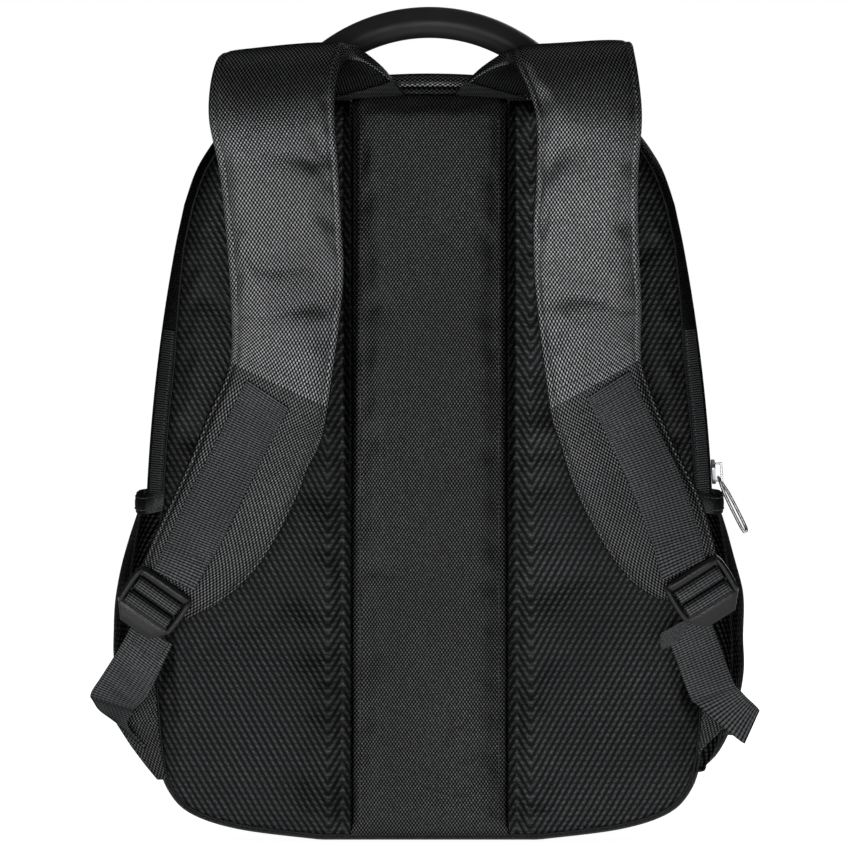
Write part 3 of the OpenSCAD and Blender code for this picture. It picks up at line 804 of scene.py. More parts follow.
def make_pads():
    line = inset(BACK_INSET + PAD_GAP)
    low = line[:, 1].min() + 0.1
    z = np.concatenate([low + np.array([0, 0.25, 0.7, 1.4, 2.4, 3.7, 5.2, 7, 9, 11.5, 14.5, 18]),
                        np.linspace(27, 424, 100), np.linspace(428, PAD_TOP_Z, 9)])
    inner = CENTRE_HALF_W + 0.8
    outer = np.maximum(half_width(z, BACK_INSET + PAD_GAP), inner + 6)
    a = np.linspace(0, 1, 53)
    a = 0.45 * a + 0.55 * (0.5 - 0.5 * np.cos(math.pi * a))
    x = inner + (outer[:, None] - inner) * a
    rows = np.broadcast_to(z[:, None], x.shape)
    gap = edge_distance(np.stack([x, rows], -1), line)
    valley = 1 - 0.5 * np.exp(-((x - CHANNEL_X) / 4.6) ** 2)
    lift = crown(gap + 0.5, 13) * valley * crown(PAD_TOP_Z - rows + 0.5, 14)
    free = ramp(gap, 0, 9) * ramp(x, CHANNEL_X, 9) * ramp(rows, PAD_TOP_Z, -12)
    for sign, name in SIDES:
        top = xyz(x * sign, PAD_Y - (PAD_T - 0.4) * (0.08 + 0.92 * lift), rows)
        top[..., 1] += wavy(top, 0.9, 60, 3 + sign) * lift
        coords = np.stack([lane_place(x - CHANNEL_X), rows], -1)
        pad = shell(f"mesh_pad_{name}", top, 0, MESH, coords=coords)
        flatten_inside(pad, 1, PAD_Y)
        settle(pad, free, 1.8, spare=0.008)
        dress(pad, "bag", "spacer_mesh", f"back_pad_{name}")


def make_centre():
    low, high, corner = CENTRE_LOW_Z, CENTRE_TOP_Z, CENTRE_CORNER
    z = np.concatenate([np.linspace(low, 18, 8), np.linspace(22, 434, 84),
                        np.linspace(437, high, 9)])
    half = np.where(z > high - corner, CENTRE_HALF_W - corner + np.sqrt(
        np.clip(corner**2 - (z - high + corner) ** 2, 0, None)), CENTRE_HALF_W)
    x = half[:, None] * signed_power(np.linspace(-1, 1, 37), 0.8)
    rows = np.broadcast_to(z[:, None], x.shape)
    gap = half[:, None] - np.abs(x)
    lift = (0.7 * crown(gap + 0.5, 5) + 0.3 * crown(gap + 0.5, 26)) \
        * crown(rows - low + 0.5, 9) * (0.75 + 0.25 * crown(high - rows + 0.8, 14))
    top = xyz(x, PAD_Y - (PAD_T + 1) * (0.2 + 0.8 * lift), rows)
    top[..., 1] += wavy(top, 0.8, 80, 9) * lift
    pad = shell("centre_channel", top, 0, WOVEN_CENTRE, coords=np.stack([x, rows], -1))
    flatten_inside(pad, 1, PAD_Y)
    free = ramp(gap, 0, 10) * ramp(rows, low, 12) * ramp(rows, high, -12)
    settle(pad, free, 1.3, spare=0.004)
    dress(pad, "bag", "woven_fabric", "back_pad_centre")
    keep = (z > 12) & (z < 436)
    lines = [(xyz(sign * (half[keep] - 5.5), PAD_Y - PAD_T - 0.5, z[keep]), (0, -1, 0))
             for sign, _ in SIDES]
    stitches("centre_stitches", lines, "bag", 3.0, 2.2)


def make_root_binding():
    """The bound seam that takes the strap roots, under the woven roll along the bag's top."""
    low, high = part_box("root_binding")
    x = np.linspace(low.x / MM + 2, high.x / MM - 2, 60)
    path = xyz(x, BACK_Y - 1.2, ROOT_SEAM_Z - (np.abs(x) / 88) ** 3 * 2)
    rings = sweep(path, round_section(1.7, 3.0, 12, 0.7), (0, 0, 1))
    dress(tube("root_seam_binding", rings, WOVEN_DARK), "bag", "woven_fabric", "root_binding")
    x = np.linspace(-ROLL_HALF_W, ROLL_HALF_W, 60)
    z = TOP_Z - 4.6 - (np.abs(x) / ROLL_HALF_W) ** 2 * 4
    rings = sweep(xyz(x, BACK_Y + 5.4, z), round_section(6.4, 6.2, 28, 0.9), (0, 0, 1))
    dress(tube("top_roll", rings, WOVEN), "bag", "woven_fabric")
    between = xyz(x, BACK_Y - 1.2, z + 0.4)[np.abs(x) < ROLL_SEEN_HALF_W]
    stitches("top_roll_stitches", [(between, (0, -1, 0))], "bag", 2.8, 2.1, 0.4)


def make_root_strips():
    """The ribbed strip that binds the raw end of each strap's lining."""
    x = np.linspace(-57.5, -15.9, 40)
    low = np.interp(x, [-57.5, -36, -15.9], [446.2, 447.6, 449.2])
    high = np.interp(x, [-57.5, -40, -21.9, -15.9], [448.3, 452.2, 457.2, 450.8])
    share = np.linspace(0, 1, 7)
    z = low[:, None] + (high - low)[:, None] * share
    y = -87.6 - 0.34 * (z - 450) - 0.5 * np.sin(math.pi * share)
    coords = np.stack([z, x[:, None] - 0.5 * z], -1)
    for sign, name in SIDES:
        strip = shell(f"root_strip_{name}", xyz(x[:, None] * -sign, y, z), -1.0 * sign,
                      WEBBING_DARK, coords=coords)
        dress(strip, f"strap_{name}", "binding")


# ---------- straps ----------

# Rows down a strap: its outer edge, its inner edge and its share of the full thickness.
STRAP_ROWS = {
    LEFT: [
        [-78, -84, 450, -16, -84, 450, 0.36], [-96, -89, 462, -28, -88, 464, 0.6],
        [-119, -101, 469, -44, -98, 474, 0.9], [-128, -114, 463, -53, -112, 468, 1],
        [-131, -121, 436, -57, -120, 444, 1], [-125, -120, 405, -55, -119, 410, 1],
        [-121, -117, 368, -53, -116, 374, 1], [-118, -113, 323, -52, -112, 334, 1],
        [-119, -109, 289, -61, -108, 262, 1], [-133, -107, 256, -66, -107, 240, 1],
        [-143, -106, 231, -73, -106, 226, 1], [-154, -105, 207, -81, -105, 206, 1],
        [-167, -103, 179, -101, -103, 170, 0.8], [-171, -102, 164, -124, -102, 147, 0.62],
        [-166, -101, 150, -146, -101, 136, 0.5]],
    RIGHT: [
        [-78, -84, 450, -16, -84, 450, 0.36], [-98, -89, 463, -30, -88, 463, 0.6],
        [-118, -101, 474, -46, -98, 471, 0.9], [-122, -114, 471, -52, -112, 466, 1],
        [-126, -121, 438, -63, -120, 440, 1], [-124, -120, 405, -64, -119, 405, 1],
        [-124, -117, 370, -62, -116, 368, 1], [-126, -113, 325, -64, -112, 328, 1],
        [-126, -109, 292, -72, -108, 262, 1], [-133, -107, 270, -78, -107, 242, 1],
        [-146, -106, 240, -85, -106, 219, 1], [-161, -105, 210, -95, -105, 197, 1],
        [-170, -103, 180, -110, -103, 172, 0.8], [-171, -102, 166, -126, -102, 154, 0.62],
        [-166, -101, 153, -144, -101, 146, 0.5]]}
SEAM_ROW = 8  # the row where the strap's upper and lower parts are sewn together
WEBBING_ROWS = {
    LEFT: [
        [-109, -115.8, 279, -84, -115.5, 262], [-127, -113.5, 243, -100, -113.5, 232],
        [-145, -112.3, 208, -117, -112.3, 196], [-158, -111.2, 180, -131, -111.2, 170],
        [-165, -110.6, 165, -141, -110.6, 153]],
    RIGHT: [
        [-119, -115.8, 284, -94, -115.5, 268], [-133, -113.5, 256, -106, -113.5, 245],
        [-149, -112.3, 224, -120, -112.3, 214], [-160, -111.2, 192, -132, -111.2, 184],
        [-165, -110.6, 172, -139, -110.6, 159]]}
ADJUSTER_ROWS = {
    LEFT: [
        [-176, -104.6, 136, -154, -104.6, 120.5], [-186, -103, 118, -163, -103, 101],
        [-196, -101, 102, -170, -100, 88], [-203, -99, 91, -176, -98, 82],
        [-202, -94, 86.5, -178, -93, 79], [-198, -87, 80, -181, -86, 71],
        [-189, -81, 74, -171, -80, 57]],
    RIGHT: [
        [-166, -104.6, 141, -141, -104.6, 128], [-173, -103.5, 122, -147.5, -103.5, 111],
        [-182, -102.5, 98, -156, -102.5, 88.5], [-184.5, -99, 94.5, -160, -99, 84.5],
        [-190, -95, 88.5, -172, -94, 73.5], [-197.5, -90, 81, -188, -89, 60.5],
        [-195.5, -86, 79, -186, -85, 64], [-187, -82, 76, -176, -81, 65]]}
TAIL_ROWS = {
    LEFT: [
        [-172, -106.8, 132, -156, -106.8, 121], [-175, -106.6, 126.5, -159.5, -106.6, 116],
        [-178.5, -106.2, 120.5, -163, -106.2, 110.5]],
    RIGHT: [
        [-158, -106.6, 138, -138, -106.6, 127], [-153, -106.4, 129, -138, -106.4, 120],
        [-149, -106, 122.5, -139, -106, 117]]}


class Ribbon:
    """A flat or padded strip between an outer and an inner edge, given for the left side."""

    def __init__(self, rows, step, sign):
        fine = smooth(rows, 10)
        place = run_lengths((fine[:, :3] + fine[:, 3:6]) / 2)
        count = int(round(place[-1] / step)) + 1
        self.at = np.linspace(0, place[-1], count)
        line = resample(fine, self.at, place)
        self.row_at = place[::10]
        self.mirror = np.array([1, 1, 1] if sign == LEFT else [-1, 1, 1])
        self.outer, self.inner = line[:, :3], line[:, 3:6]
        self.full = line[:, 6:7]
        along = way_of(self.outer + self.inner)
        self.out = unit(np.cross(along, self.inner - self.outer))
        self.width = np.linalg.norm(self.inner - self.outer, axis=1)
        self.facing = self.out * self.mirror

    def place(self, a, h):
        """Points at share a across, h millimetres out, both [station, column]."""
        p = self.outer[:, None] + (self.inner - self.outer)[:, None] * a[..., None] \
            + self.out[:, None] * h[..., None]
        return p * self.mirror


TOP_COLUMNS = 61
TOP_ANGLES = np.linspace(-28, 208, TOP_COLUMNS)
STRAP_ANGLES = np.radians(np.concatenate([TOP_ANGLES, np.linspace(212, 328, 24)]))
# share across and share of thickness round the strap's padded section
STRAP_A = 0.5 - 0.5 * signed_power(np.cos(STRAP_ANGLES), 0.42)
STRAP_H = 0.5 * signed_power(np.sin(STRAP_ANGLES), 0.62)


def strap_rings(ribbon, name):
    """The padded strap's section at every station, filled out by simulation."""
    a, h = STRAP_A, STRAP_H
    end = crown(ribbon.at[-1] - ribbon.at + 1.5, 14)[:, None]
    rise = h * (ribbon.full * STRAP_T) * end
    rings = ribbon.place(np.broadcast_to(a, rise.shape), rise)
    form = tube(f"strap_form_{name}", rings, MESH)
    upper = ramp(ribbon.at, ribbon.row_at[SEAM_ROW] - 8, -25) * ramp(ribbon.at, 18, 20)
    outside = np.clip(h * 2.4, 0, 1) * np.clip(np.minimum(a, 1 - a) * 9, 0, 1)
    settle(form, upper[:, None] * outside, 2.0, pressure=2.0, spare=0.009)
    rings = coordinates(form.data).reshape(rings.shape)
    bpy.data.objects.remove(form)
    return rings


def at_share(grid, a, share):
    """The point of each row of a grid at a share across its outside."""
    columns = np.nonzero((TOP_ANGLES >= 0) & (TOP_ANGLES <= 180))[0]
    place = np.interp(share, a[columns], columns)
    base = np.minimum(place.astype(int), len(a) - 2)
    part = (place - base)[:, None]
    rows = np.arange(len(grid))
    return grid[rows, base] * (1 - part) + grid[rows, base + 1] * part


def strap_covers(ribbon, rings, sign, name):
    """The two woven covers, the upper one lapping over the lower at the seam."""
    seam_at = ribbon.row_at[SEAM_ROW]
    a, h = STRAP_A[:TOP_COLUMNS], STRAP_H[:TOP_COLUMNS]
    parts = (("upper", ribbon.at <= seam_at + 2, 1.7, WOVEN, 4.0, 0.8, slice(6, None)),
             ("lower", ribbon.at >= seam_at - 6, 0.0, WOVEN_TURNED, 2.6, 1.3, slice(6, -3)))
    lines = []
    for part, keep, proud, paint, margin, hump, sewn in parts:
        width, out = ribbon.width[keep], ribbon.facing[keep]
        edge_mm = np.minimum(a, 1 - a) * width[:, None]
        groove = 0.8 * np.exp(-((edge_mm - margin) / 1.1) ** 2)
        rise = np.sign(h) * 0.7 + (proud - groove) * (h > 0)
        p = rings[keep][:, :TOP_COLUMNS]
        rise = rise + wavy(p, hump, 34, 20 + sign) * np.clip(h * 2, 0, 1)
        across = unit(p[:, -1] - p[:, 0])[:, None] * ((a - 0.5) * 1.2)[:, None]
        p = p + out[:, None] * rise[..., None] + across
        piece = shell(f"strap_{part}_{name}", p, -0.8 * sign, paint, sharp=70)
        dress(piece, f"strap_{name}", "woven_fabric", f"strap_cover_{name}")
        for share in (margin / width, 1 - margin / width):
            line = at_share(p, a, share) + out * 0.15
            lines.append((line[sewn], out[sewn]))
        if part == "upper":
            lines.append((p[-3, 12:-12] + out[-3] * 0.2, out[-3]))
    stitches(f"strap_stitches_{name}", lines, f"strap_{name}", 3.0, 2.2, 0.4)


def strap_core(rings, name):
    """The foam with its mesh lining, which shows on the strap's underside."""
    middle = rings.mean(1, keepdims=True)
    core = tube(f"strap_padding_{name}", middle + (rings - middle) * 0.975, MESH_FINE)
    dress(core, f"strap_{name}", "spacer_mesh", f"strap_foam_{name}", f"strap_lining_{name}")


def webbing_tube(name, rings, body, *nodes):
    dress(tube(name, rings, WEBBING, sharp=70), body, "webbing", *nodes)


def webbing_piece(name, rows, sign, body, node, step=3.0):
    """A run of webbing with rounded edges."""
    ribbon = Ribbon(rows, step, sign)
    section = round_section(0.5, 0.5, 16, 0.35)
    edge = (0.5 - np.abs(section[:, 0])) * 3 / ribbon.width[:, None]
    share = 0.5 + np.sign(section[:, 0]) * (0.5 - edge)
    rings = ribbon.place(np.clip(share, 0, 1),
                         np.broadcast_to(section[:, 1] * WEBBING_T, share.shape))
    webbing_tube(name, rings, body, node)


def webbing_stitches(sign, name):
    """Stitches down both edges of the fixed webbing, with a bar at each end."""
    ribbon = Ribbon(WEBBING_ROWS[sign], 3.0, sign)
    share = np.broadcast_to(np.linspace(0.09, 0.91, 9), (len(ribbon.at), 9))
    grid = ribbon.place(share, np.full(share.shape, WEBBING_T / 2 + 0.1))
    inside = slice(2, len(ribbon.at) - 5)
    lines = [(grid[inside, column], ribbon.facing[inside]) for column in (0, -1)]
    lines += [(grid[station], ribbon.facing[station]) for station in (2, 3, -6, -7)]
    stitches(f"webbing_stitches_{name}", lines, f"strap_{name}", 2.8, 2.1, 0.35)


def make_straps():
    for sign, name in SIDES:
        ribbon = Ribbon(STRAP_ROWS[sign], 3.5, sign)
        rings = strap_rings(ribbon, name)
        strap_core(rings, name)
        strap_covers(ribbon, rings, sign, name)
        webbing_stitches(sign, name)
        bend = ("bag", f"strap_{name}", (sign * 0.18, -0.09, 0.07), (sign * 0.18, -0.1, 0.12))
        for piece, rows, body, node, step in (
                ("fixed_webbing", WEBBING_ROWS, f"strap_{name}", "strap_webbing", 3.0),
                ("adjuster_webbing", ADJUSTER_ROWS, bend, "adjuster", 1.5),
                ("loose_tail", TAIL_ROWS, f"buckle_{name}", "webbing_tail", 3.0)):
            webbing_piece(f"{piece}_{name}", rows[sign], sign, body, f"{node}_{name}", step)


# ---------- pockets ----------

CORNER_Y = -52.0  # where a side pocket starts to turn in to the back
POCKET_LOW_Z, POCKET_TOP_Z = 43, 197
# [half width, height] of a side pocket from behind, and its [depth, half width] from above
POCKET_BELLY = [[165, 42], [175, 50], [184, 68], [190.5, 96], [191.5, 120], [189, 150],
                [182, 180], [177, 197]]
POCKET_PLAN = [[-69, 168], [-60, 174.5], [-50, 178], [-38, 184], [-18, 189.5], [18, 189.5],
               [40, 184], [56, 172]]


def elastic_hem(sign, name, mouth, y, share):
    """The bound mouth of a side pocket, carried on round the edge of the back."""
    low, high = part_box(f"pocket_hem_{name}")
    tall = np.linspace(0, 1, 11)
    z = low.z / MM + (high.z - low.z) / MM * tall
    back_x = np.linspace(157, 171.5, 12)
    back_y = np.interp(back_x, [157, 166, 170, 171.5], [-80.4, -79.4, -76.5, -73.5])
    keep = y > -68
    gather = 0.5 * np.sin(y[keep] * 1.1) * (share[keep] > 0.2)
    x = np.concatenate([back_x, np.maximum(mouth[keep] + 0.8 + gather, 172.0)])
    y = np.concatenate([back_y, y[keep]])
    way = way_of(np.column_stack([x, y]))
    bulge = (np.sin(math.pi * tall) * 0.9)[:, None]
    drop = np.interp(x, [157, 172], [3.0, 0.0])
    p = xyz((x + way[:, 1] * bulge - (z - z[0])[:, None] * 0.04) * sign, y - way[:, 0] * bulge,
            z[:, None] + drop)
    out = xyz(way[:, 1] * sign, -way[:, 0], 0)
    hem = shell(f"elastic_hem_{name}", p, -1.6 * sign, BINDING)
    lines = [(p[k] + out * 0.25, out) for k in (2, 8)]
    lines.append((p[2:9, 1] - [0, 0.25, 0], (0, -1, 0)))
    stitches(f"hem_stitches_{name}", lines, "bag", 2.6, 1.9, 0.35)
    return hem, p


def side_pocket_form():
    """A side pocket's half widths, depths and heights, and how far it stands out by column."""
    belly, plan = smooth(POCKET_BELLY, 6), smooth(POCKET_PLAN, 6)
    z = np.linspace(POCKET_LOW_Z, POCKET_TOP_Z, 56)
    y = np.linspace(CORNER_Y, 56, 42)
    body = half_width(z)
    stand = np.clip(np.interp(z, belly[:, 1], belly[:, 0]) - body, 0, None)[:, None]
    share = ramp(np.interp(y, plan[:, 0], plan[:, 1]), 166, 23.5)
    side = body[:, None] + 0.6 + stand * share[None, :] ** 0.7
    # the corner starts on the back above the anchor tab, and at the body's side behind it
    above = ramp(z, 96, 16)[:, None]
    start_x = (body[:, None] - 2) * (1 - above) + 153 * above
    start_y = -69 * (1 - above) - 79.6 * above
    turn = np.linspace(0, math.pi / 2, 16)[:-1]
    corner_x = start_x + (side[:, :1] - start_x) * np.sin(turn) ** 0.85
    corner_y = start_y + (CORNER_Y - start_y) * (1 - np.cos(turn))
    side = np.concatenate([corner_x, side], 1)
    depth = np.concatenate([corner_y, np.broadcast_to(y, (len(z), len(y)))], 1)
    return side, depth, z, np.concatenate([np.linspace(0.1, share[0], 15), share])


def make_side_pockets():
    side, depth, z, share = side_pocket_form()
    fade = np.sin(math.pi * ramp(z, POCKET_LOW_Z, 170))[:, None] * share
    for sign, name in SIDES:
        p = xyz(side * sign, depth, z[:, None])
        p[..., 0] += sign * wavy(p, 2.4, 38, 30 + sign) * fade
        pocket = shell(f"mesh_pocket_{name}", p, -1.0 * sign, POCKET_MESH)
        dress(pocket, "bag", "pocket_mesh", f"side_pocket_{name}")
        hem, hem_grid = elastic_hem(sign, name, side[-1], depth[-1], share)
        dress(hem, "bag", "binding", f"pocket_hem_{name}")
        rim = np.concatenate([p[:, 0][::-1], p[0], p[:, -1]])
        piping(f"pocket_piping_{name}", rim, 1.5, "bag", (sign, 0.3, 0.2))


def line_at(z, line):
    """The first coordinate of a line of [coordinate, height] points at some heights."""
    order = np.argsort(line[:, 1], kind="stable")
    return np.interp(z, line[order, 1], line[order, 0])


def pocket_grid(face, side, end_w, n=64, m=71):
    """A pocket that stands out from the front wall, as the CAD outlines say."""
    side = smooth(side, 5)
    z = np.linspace(side[0, 1] + 0.2, side[-1, 1] - 0.2, n)
    half = line_at(z, smooth(face, 6))[:, None]
    a = np.linspace(-1, 1, m)
    x = half * np.sign(a) * (1 - (1 - np.abs(a)) ** 1.35)
    wall = front_depth(z)[:, None] + 0.5
    stand = np.clip(line_at(z, side)[:, None] - wall, 0, None)
    return xyz(x, wall + stand * crown(half - np.abs(x), end_w), z[:, None])


FRONT_FACE = [[110, 21], [126, 40], [130, 80], [127, 140], [118, 172], [90, 188]]
FRONT_SIDE = [[85, 21], [110, 30], [123, 56], [126.6, 100], [125, 132], [119, 152], [97, 182],
              [85, 188]]
UPPER_FACE = [[106, 214], [119, 232], [120, 290], [110, 345], [95, 372], [60, 386]]
UPPER_SIDE = [[85, 214], [104, 228], [114, 252], [113, 300], [107, 332], [85, 366], [74, 382]]
# name, outlines, width of the rounded ends, the slope's two edges, half the zip's length, body
POCKETS = (("front", FRONT_FACE, FRONT_SIDE, 20, (119, 152), (97, 182), 104, "bag"),
           ("upper", UPPER_FACE, UPPER_SIDE, 17, (107, 332), (85, 366), 84, "flap"))


def rim_of(grid):
    return np.concatenate([grid[:, 0][::-1], grid[0], grid[:, -1], grid[-1][::-1]])


def make_front_pockets():
    for name, face, side, end_w, low, high, half_l, body in POCKETS:
        low, high = np.array(low, float), np.array(high, float)
        grid = pocket_grid(face, side, end_w)
        spread = np.sin(np.linspace(0, math.pi, grid.shape[1]))[None, :] \
            * np.sin(np.linspace(0, math.pi, grid.shape[0]))[:, None]
        run = high - low
        over = np.abs((grid[..., 1] - low[0]) * run[1] - (grid[..., 2] - low[1]) * run[0]) \
            / np.linalg.norm(run)
        grid[..., 1] += wavy(grid, 3.0, 48, 40 + half_l) * spread * ramp(over, 0, 12)
        bend = FLAP_BEND if body == "flap" else body
        cloth_wall(f"{name}_pocket_cloth", grid, 1.8, [WOVEN_BODY, LINING], bend,
                   f"{name}_pocket", f"{name}_pocket")
        edge = rim_of(grid[4:-4, 4:-4])
        out = unit(xyz(edge[:, 0] / 90, 1, 0))
        stitches(f"{name}_pocket_stitches", [(edge + out * 0.3, out)], bend)
        piping(f"{name}_pocket_piping", even(rim_of(grid), 4.0)[:-1], 1.7, bend, closed=True)
        make_slope_zip(name, low, high, half_l, body)


def make_slope_zip(name, low, high, half_l, body):
    """A zip tape and its two rows of teeth on a pocket's slope."""
    run = unit(high - low)
    out = np.array([run[1], -run[0]])
    middle = (low + high) / 2
    x = np.linspace(-half_l, half_l, 60)
    yz = middle + run * np.linspace(-TAPE_W, TAPE_W, 7)[:, None] + out * 1.25
    tape = shell(f"{name}_zip_cloth", xyz(x[:, None], yz[:, 0], yz[:, 1]), -0.9, TAPE)
    dress(tape, body, "zip_tape", f"{name}_zip_tape")
    run, out, middle = np.array([0, *run]), np.array([0, *out]), np.array([0, *(middle + out)])
    teeth = [tooth(middle + [at, 0, 0], run * (1 if k % 2 else -1), out, (1, 0, 0), (2.4, 0.3),
                   1.2, 0.5)
             for k, at in enumerate(np.arange(-half_l + 2, half_l - 2, 1.5))]
    zip_teeth(f"{name}_zip_teeth", teeth, body)


# ---------- inside ----------


def span(node, axis, n, margin=0.0):
    """n places across a CAD node along an axis, in millimetres."""
    low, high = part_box(node)
    return np.linspace(low[axis] / MM + margin, high[axis] / MM - margin, n)


def to_edge(u, v):
    """Distance of each point of a grid from the grid's nearest edge."""
    return np.minimum(np.minimum(u - u.min(), u.max() - u), np.minimum(v - v.min(), v.max() - v))


def make_inside():
    x, z = span("laptop_divider", 0, 41), span("laptop_divider", 2, 41)
    back_y, front_y = span("laptop_divider", 1, 2)
    middle = (back_y + front_y) / 2
    gx, gz = np.meshgrid(x, z)
    quilt = np.abs(np.sin((gx + gz) * math.pi / 70)) * np.abs(np.sin((gx - gz) * math.pi / 70))
    lift = crown(to_edge(gx, gz) + 0.4, 6) * (2.0 + 1.0 * quilt**0.4)
    pad = shell("laptop_sleeve_pad", xyz(gx, middle + lift, gz), 0, LINING,
                coords=np.stack([gx, gz], -1))
    flatten_inside(pad, 1, back_y + 0.5)
    dress(pad, "bag", "lining", "laptop_divider")
    rings = sweep(xyz(x, middle, z[-1] - 0.5), round_section(3.2, 2.2, 12), (0, 0, 1))
    dress(tube("laptop_sleeve_binding", rings, BINDING), "bag", "binding")

    gx, gy = np.meshgrid(span("base_pad", 0, 41, 1), span("base_pad", 1, 21, 1))
    floor_z = np.interp(np.abs(gx), [0, 66, 114, 133], [3.4, 3.6, 9.5, 15.5])
    top = xyz(gx, gy, floor_z + 0.4 + 4.2 * crown(to_edge(gx, gy) + 0.5, 7))
    pad = shell("base_foam", top, 0, LINING)
    flatten_inside(pad, 2, floor_z.ravel() + 0.1)
    dress(pad, "bag", "lining", "base_pad")


# ---------- handle ----------

GRIP_R = 9.5
GRIP_BEND_R = 100.0
GRIP_TOP_Z = 503.0
GRIP_SIDES = 40
HANDLE_Y = -62.0
HANDLE_Z = 468.0
TAB_R = 10.6
TAB_HALF_W = 10.5
TAB_FOOT_Z = [449, 456]


def make_handle():
    centre_z = GRIP_TOP_Z - GRIP_R - GRIP_BEND_R
    start = math.asin((HANDLE_Z - centre_z) / GRIP_BEND_R)
    angle = np.linspace(start - 0.02, math.pi - start + 0.02, 72)
    path = xyz(GRIP_BEND_R * np.cos(angle), HANDLE_Y, centre_z + GRIP_BEND_R * np.sin(angle))
    out = unit(path - [0, HANDLE_Y, centre_z])
    a = np.arange(GRIP_SIDES) * 2 * math.pi / GRIP_SIDES
    bead = 1.1 * np.exp(-((np.abs(np.cos(a)) - 1) / 0.05) ** 2)
    radius = GRIP_R * (0.97 - 0.02 * np.cos(2 * a)) + bead
    section = np.stack([np.cos(a) * radius, np.sin(a) * radius], 1)
    grip = tube("carry_grip", sweep(path, section, out), GRIP, sharp=180)
    dress(grip, "handle", "moulded_grip", "handle_grip")
    make_handle_tabs(abs(path[0, 0]) + 0.5)


def make_handle_tabs(x):
    """The webbing that goes over each end of the grip and down into the top seam."""
    a = np.linspace(-math.pi / 2 - 0.2, 1.5 * math.pi + 0.2, 40)[::-1][4:-4:4]
    y = HANDLE_Y + np.concatenate([[-5, -7], TAB_R * np.cos(a), [7, 5]])
    z = np.concatenate([TAB_FOOT_Z, HANDLE_Z + TAB_R * np.sin(a), TAB_FOOT_Z[::-1]])
    for sign, name in SIDES:
        path = even(smooth(xyz(sign * x, y, z), 6), 1.6)
        side = np.cross(way_of(path), [sign, 0, 0])
        rings = sweep(path, round_section(TAB_HALF_W, WEBBING_T / 2, 16, 0.4), side)
        webbing_tube(f"handle_loop_{name}", rings, "bag", f"handle_tab_{name}")


# ---------- hardware ----------


def soften(node, paint, width):
    """A CAD part that stays gets rounded edges and a finished material."""
    part = frame["nodes"][node]
    part.data.materials.clear()
    part.data.materials.append(paint)
    part.data.polygons.foreach_set("use_smooth", np.ones(len(part.data.polygons), bool))
    weld = part.modifiers.new("weld", "WELD")
    weld.merge_threshold = 0.00002
    flat = part.modifiers.new("flat", "DECIMATE")
    flat.decimate_type = "DISSOLVE"
    flat.angle_limit = math.radians(1)
    bevel = part.modifiers.new("bevel", "BEVEL")
    bevel.width = width * MM
    bevel.segments = 3
    bevel.limit_method = "ANGLE"
    bevel.angle_limit = math.radians(35)
    part.modifiers.new("normals", "WEIGHTED_NORMAL")


# the middle of each buckle's top bar, mirrored to the left, and its turn in degrees
BUCKLES = {LEFT: (-158, -109.3, 156, -35), RIGHT: (-157, -109.3, 163, -32)}
BUCKLE_HALF_W = 19.0
# bars of a buckle: height, half width, half thickness, half length and depth
BARS = ((-0.2, 3.3, 2.9, BUCKLE_HALF_W, -0.4), (-12.6, 1.3, 1.3, 17.5, 0.4),
        (-21.2, 1.6, 1.9, 17.8, -0.3))
LIP_Z = [-20.8, -22.0, -24.0, -27.0, -30.0, -32.2]
LIP_HALF_W = [18.4, 18.6, 17.4, 14.8, 12.2, 10.4]
LIP_HALF_T = [1.3, 1.7, 1.8, 1.6, 1.3, 0.6]
# [depth, distance from the loop's end] of half a turn of webbing
LOOP_END = [[2.2, 3.5], [1.4, 0.6], [-0.6, -0.1], [-1.9, 1.2], [-2.3, 3]]


def in_buckle(points, sign):
    """Points in a buckle's own frame, put in their place."""
    x, y, z, turned = BUCKLES[sign]
    a = math.radians(turned)
    p = np.asarray(points, float)
    spun = np.stack([p[..., 0] * math.cos(a) - p[..., 2] * math.sin(a), p[..., 1],
                     p[..., 0] * math.sin(a) + p[..., 2] * math.cos(a)], -1)
    return (spun + [x, y, z]) * [1 if sign == LEFT else -1, 1, 1]


def bar_rings(z, half_w, half_h, half_l, y):
    """A bar across a buckle, rounded off at its ends."""
    x = half_l * np.sin(np.linspace(-math.pi / 2, math.pi / 2, 33))
    swell = np.clip(1 - (x / half_l) ** 6, 0.02, 1) ** 0.5
    section = swelling(round_section(1, 1, 20, 0.85), swell * half_w, swell * half_h)
    return sweep(xyz(x, y, z), section, (0, -1, 0))


def rail_rings(side):
    """A bowed rail down one side of a buckle."""
    x = side * (17.3 + np.sin(np.linspace(0, math.pi, 31)) * 0.7)
    swell = np.clip(1 - np.linspace(-1, 1, 31) ** 6, 0.05, 1) ** 0.5
    section = swelling(round_section(1, 1, 16, 0.9), swell * 2.1, swell * 2.6)
    return sweep(xyz(x, -0.9, np.linspace(1.6, -23.5, 31)), section, (0, -1, 0))


def lip_rings():
    """The thin lip that is pulled to tilt a buckle."""
    rows = even(smooth(np.column_stack([LIP_Z, LIP_HALF_W, LIP_HALF_T]), 6), 0.8)
    outlines = [round_section(w, t, 40, 0.3) for _, w, t in rows]
    return np.array([xyz(xy[:, 0], xy[:, 1] - 0.2, z) for xy, z in zip(outlines, rows[:, 0])])


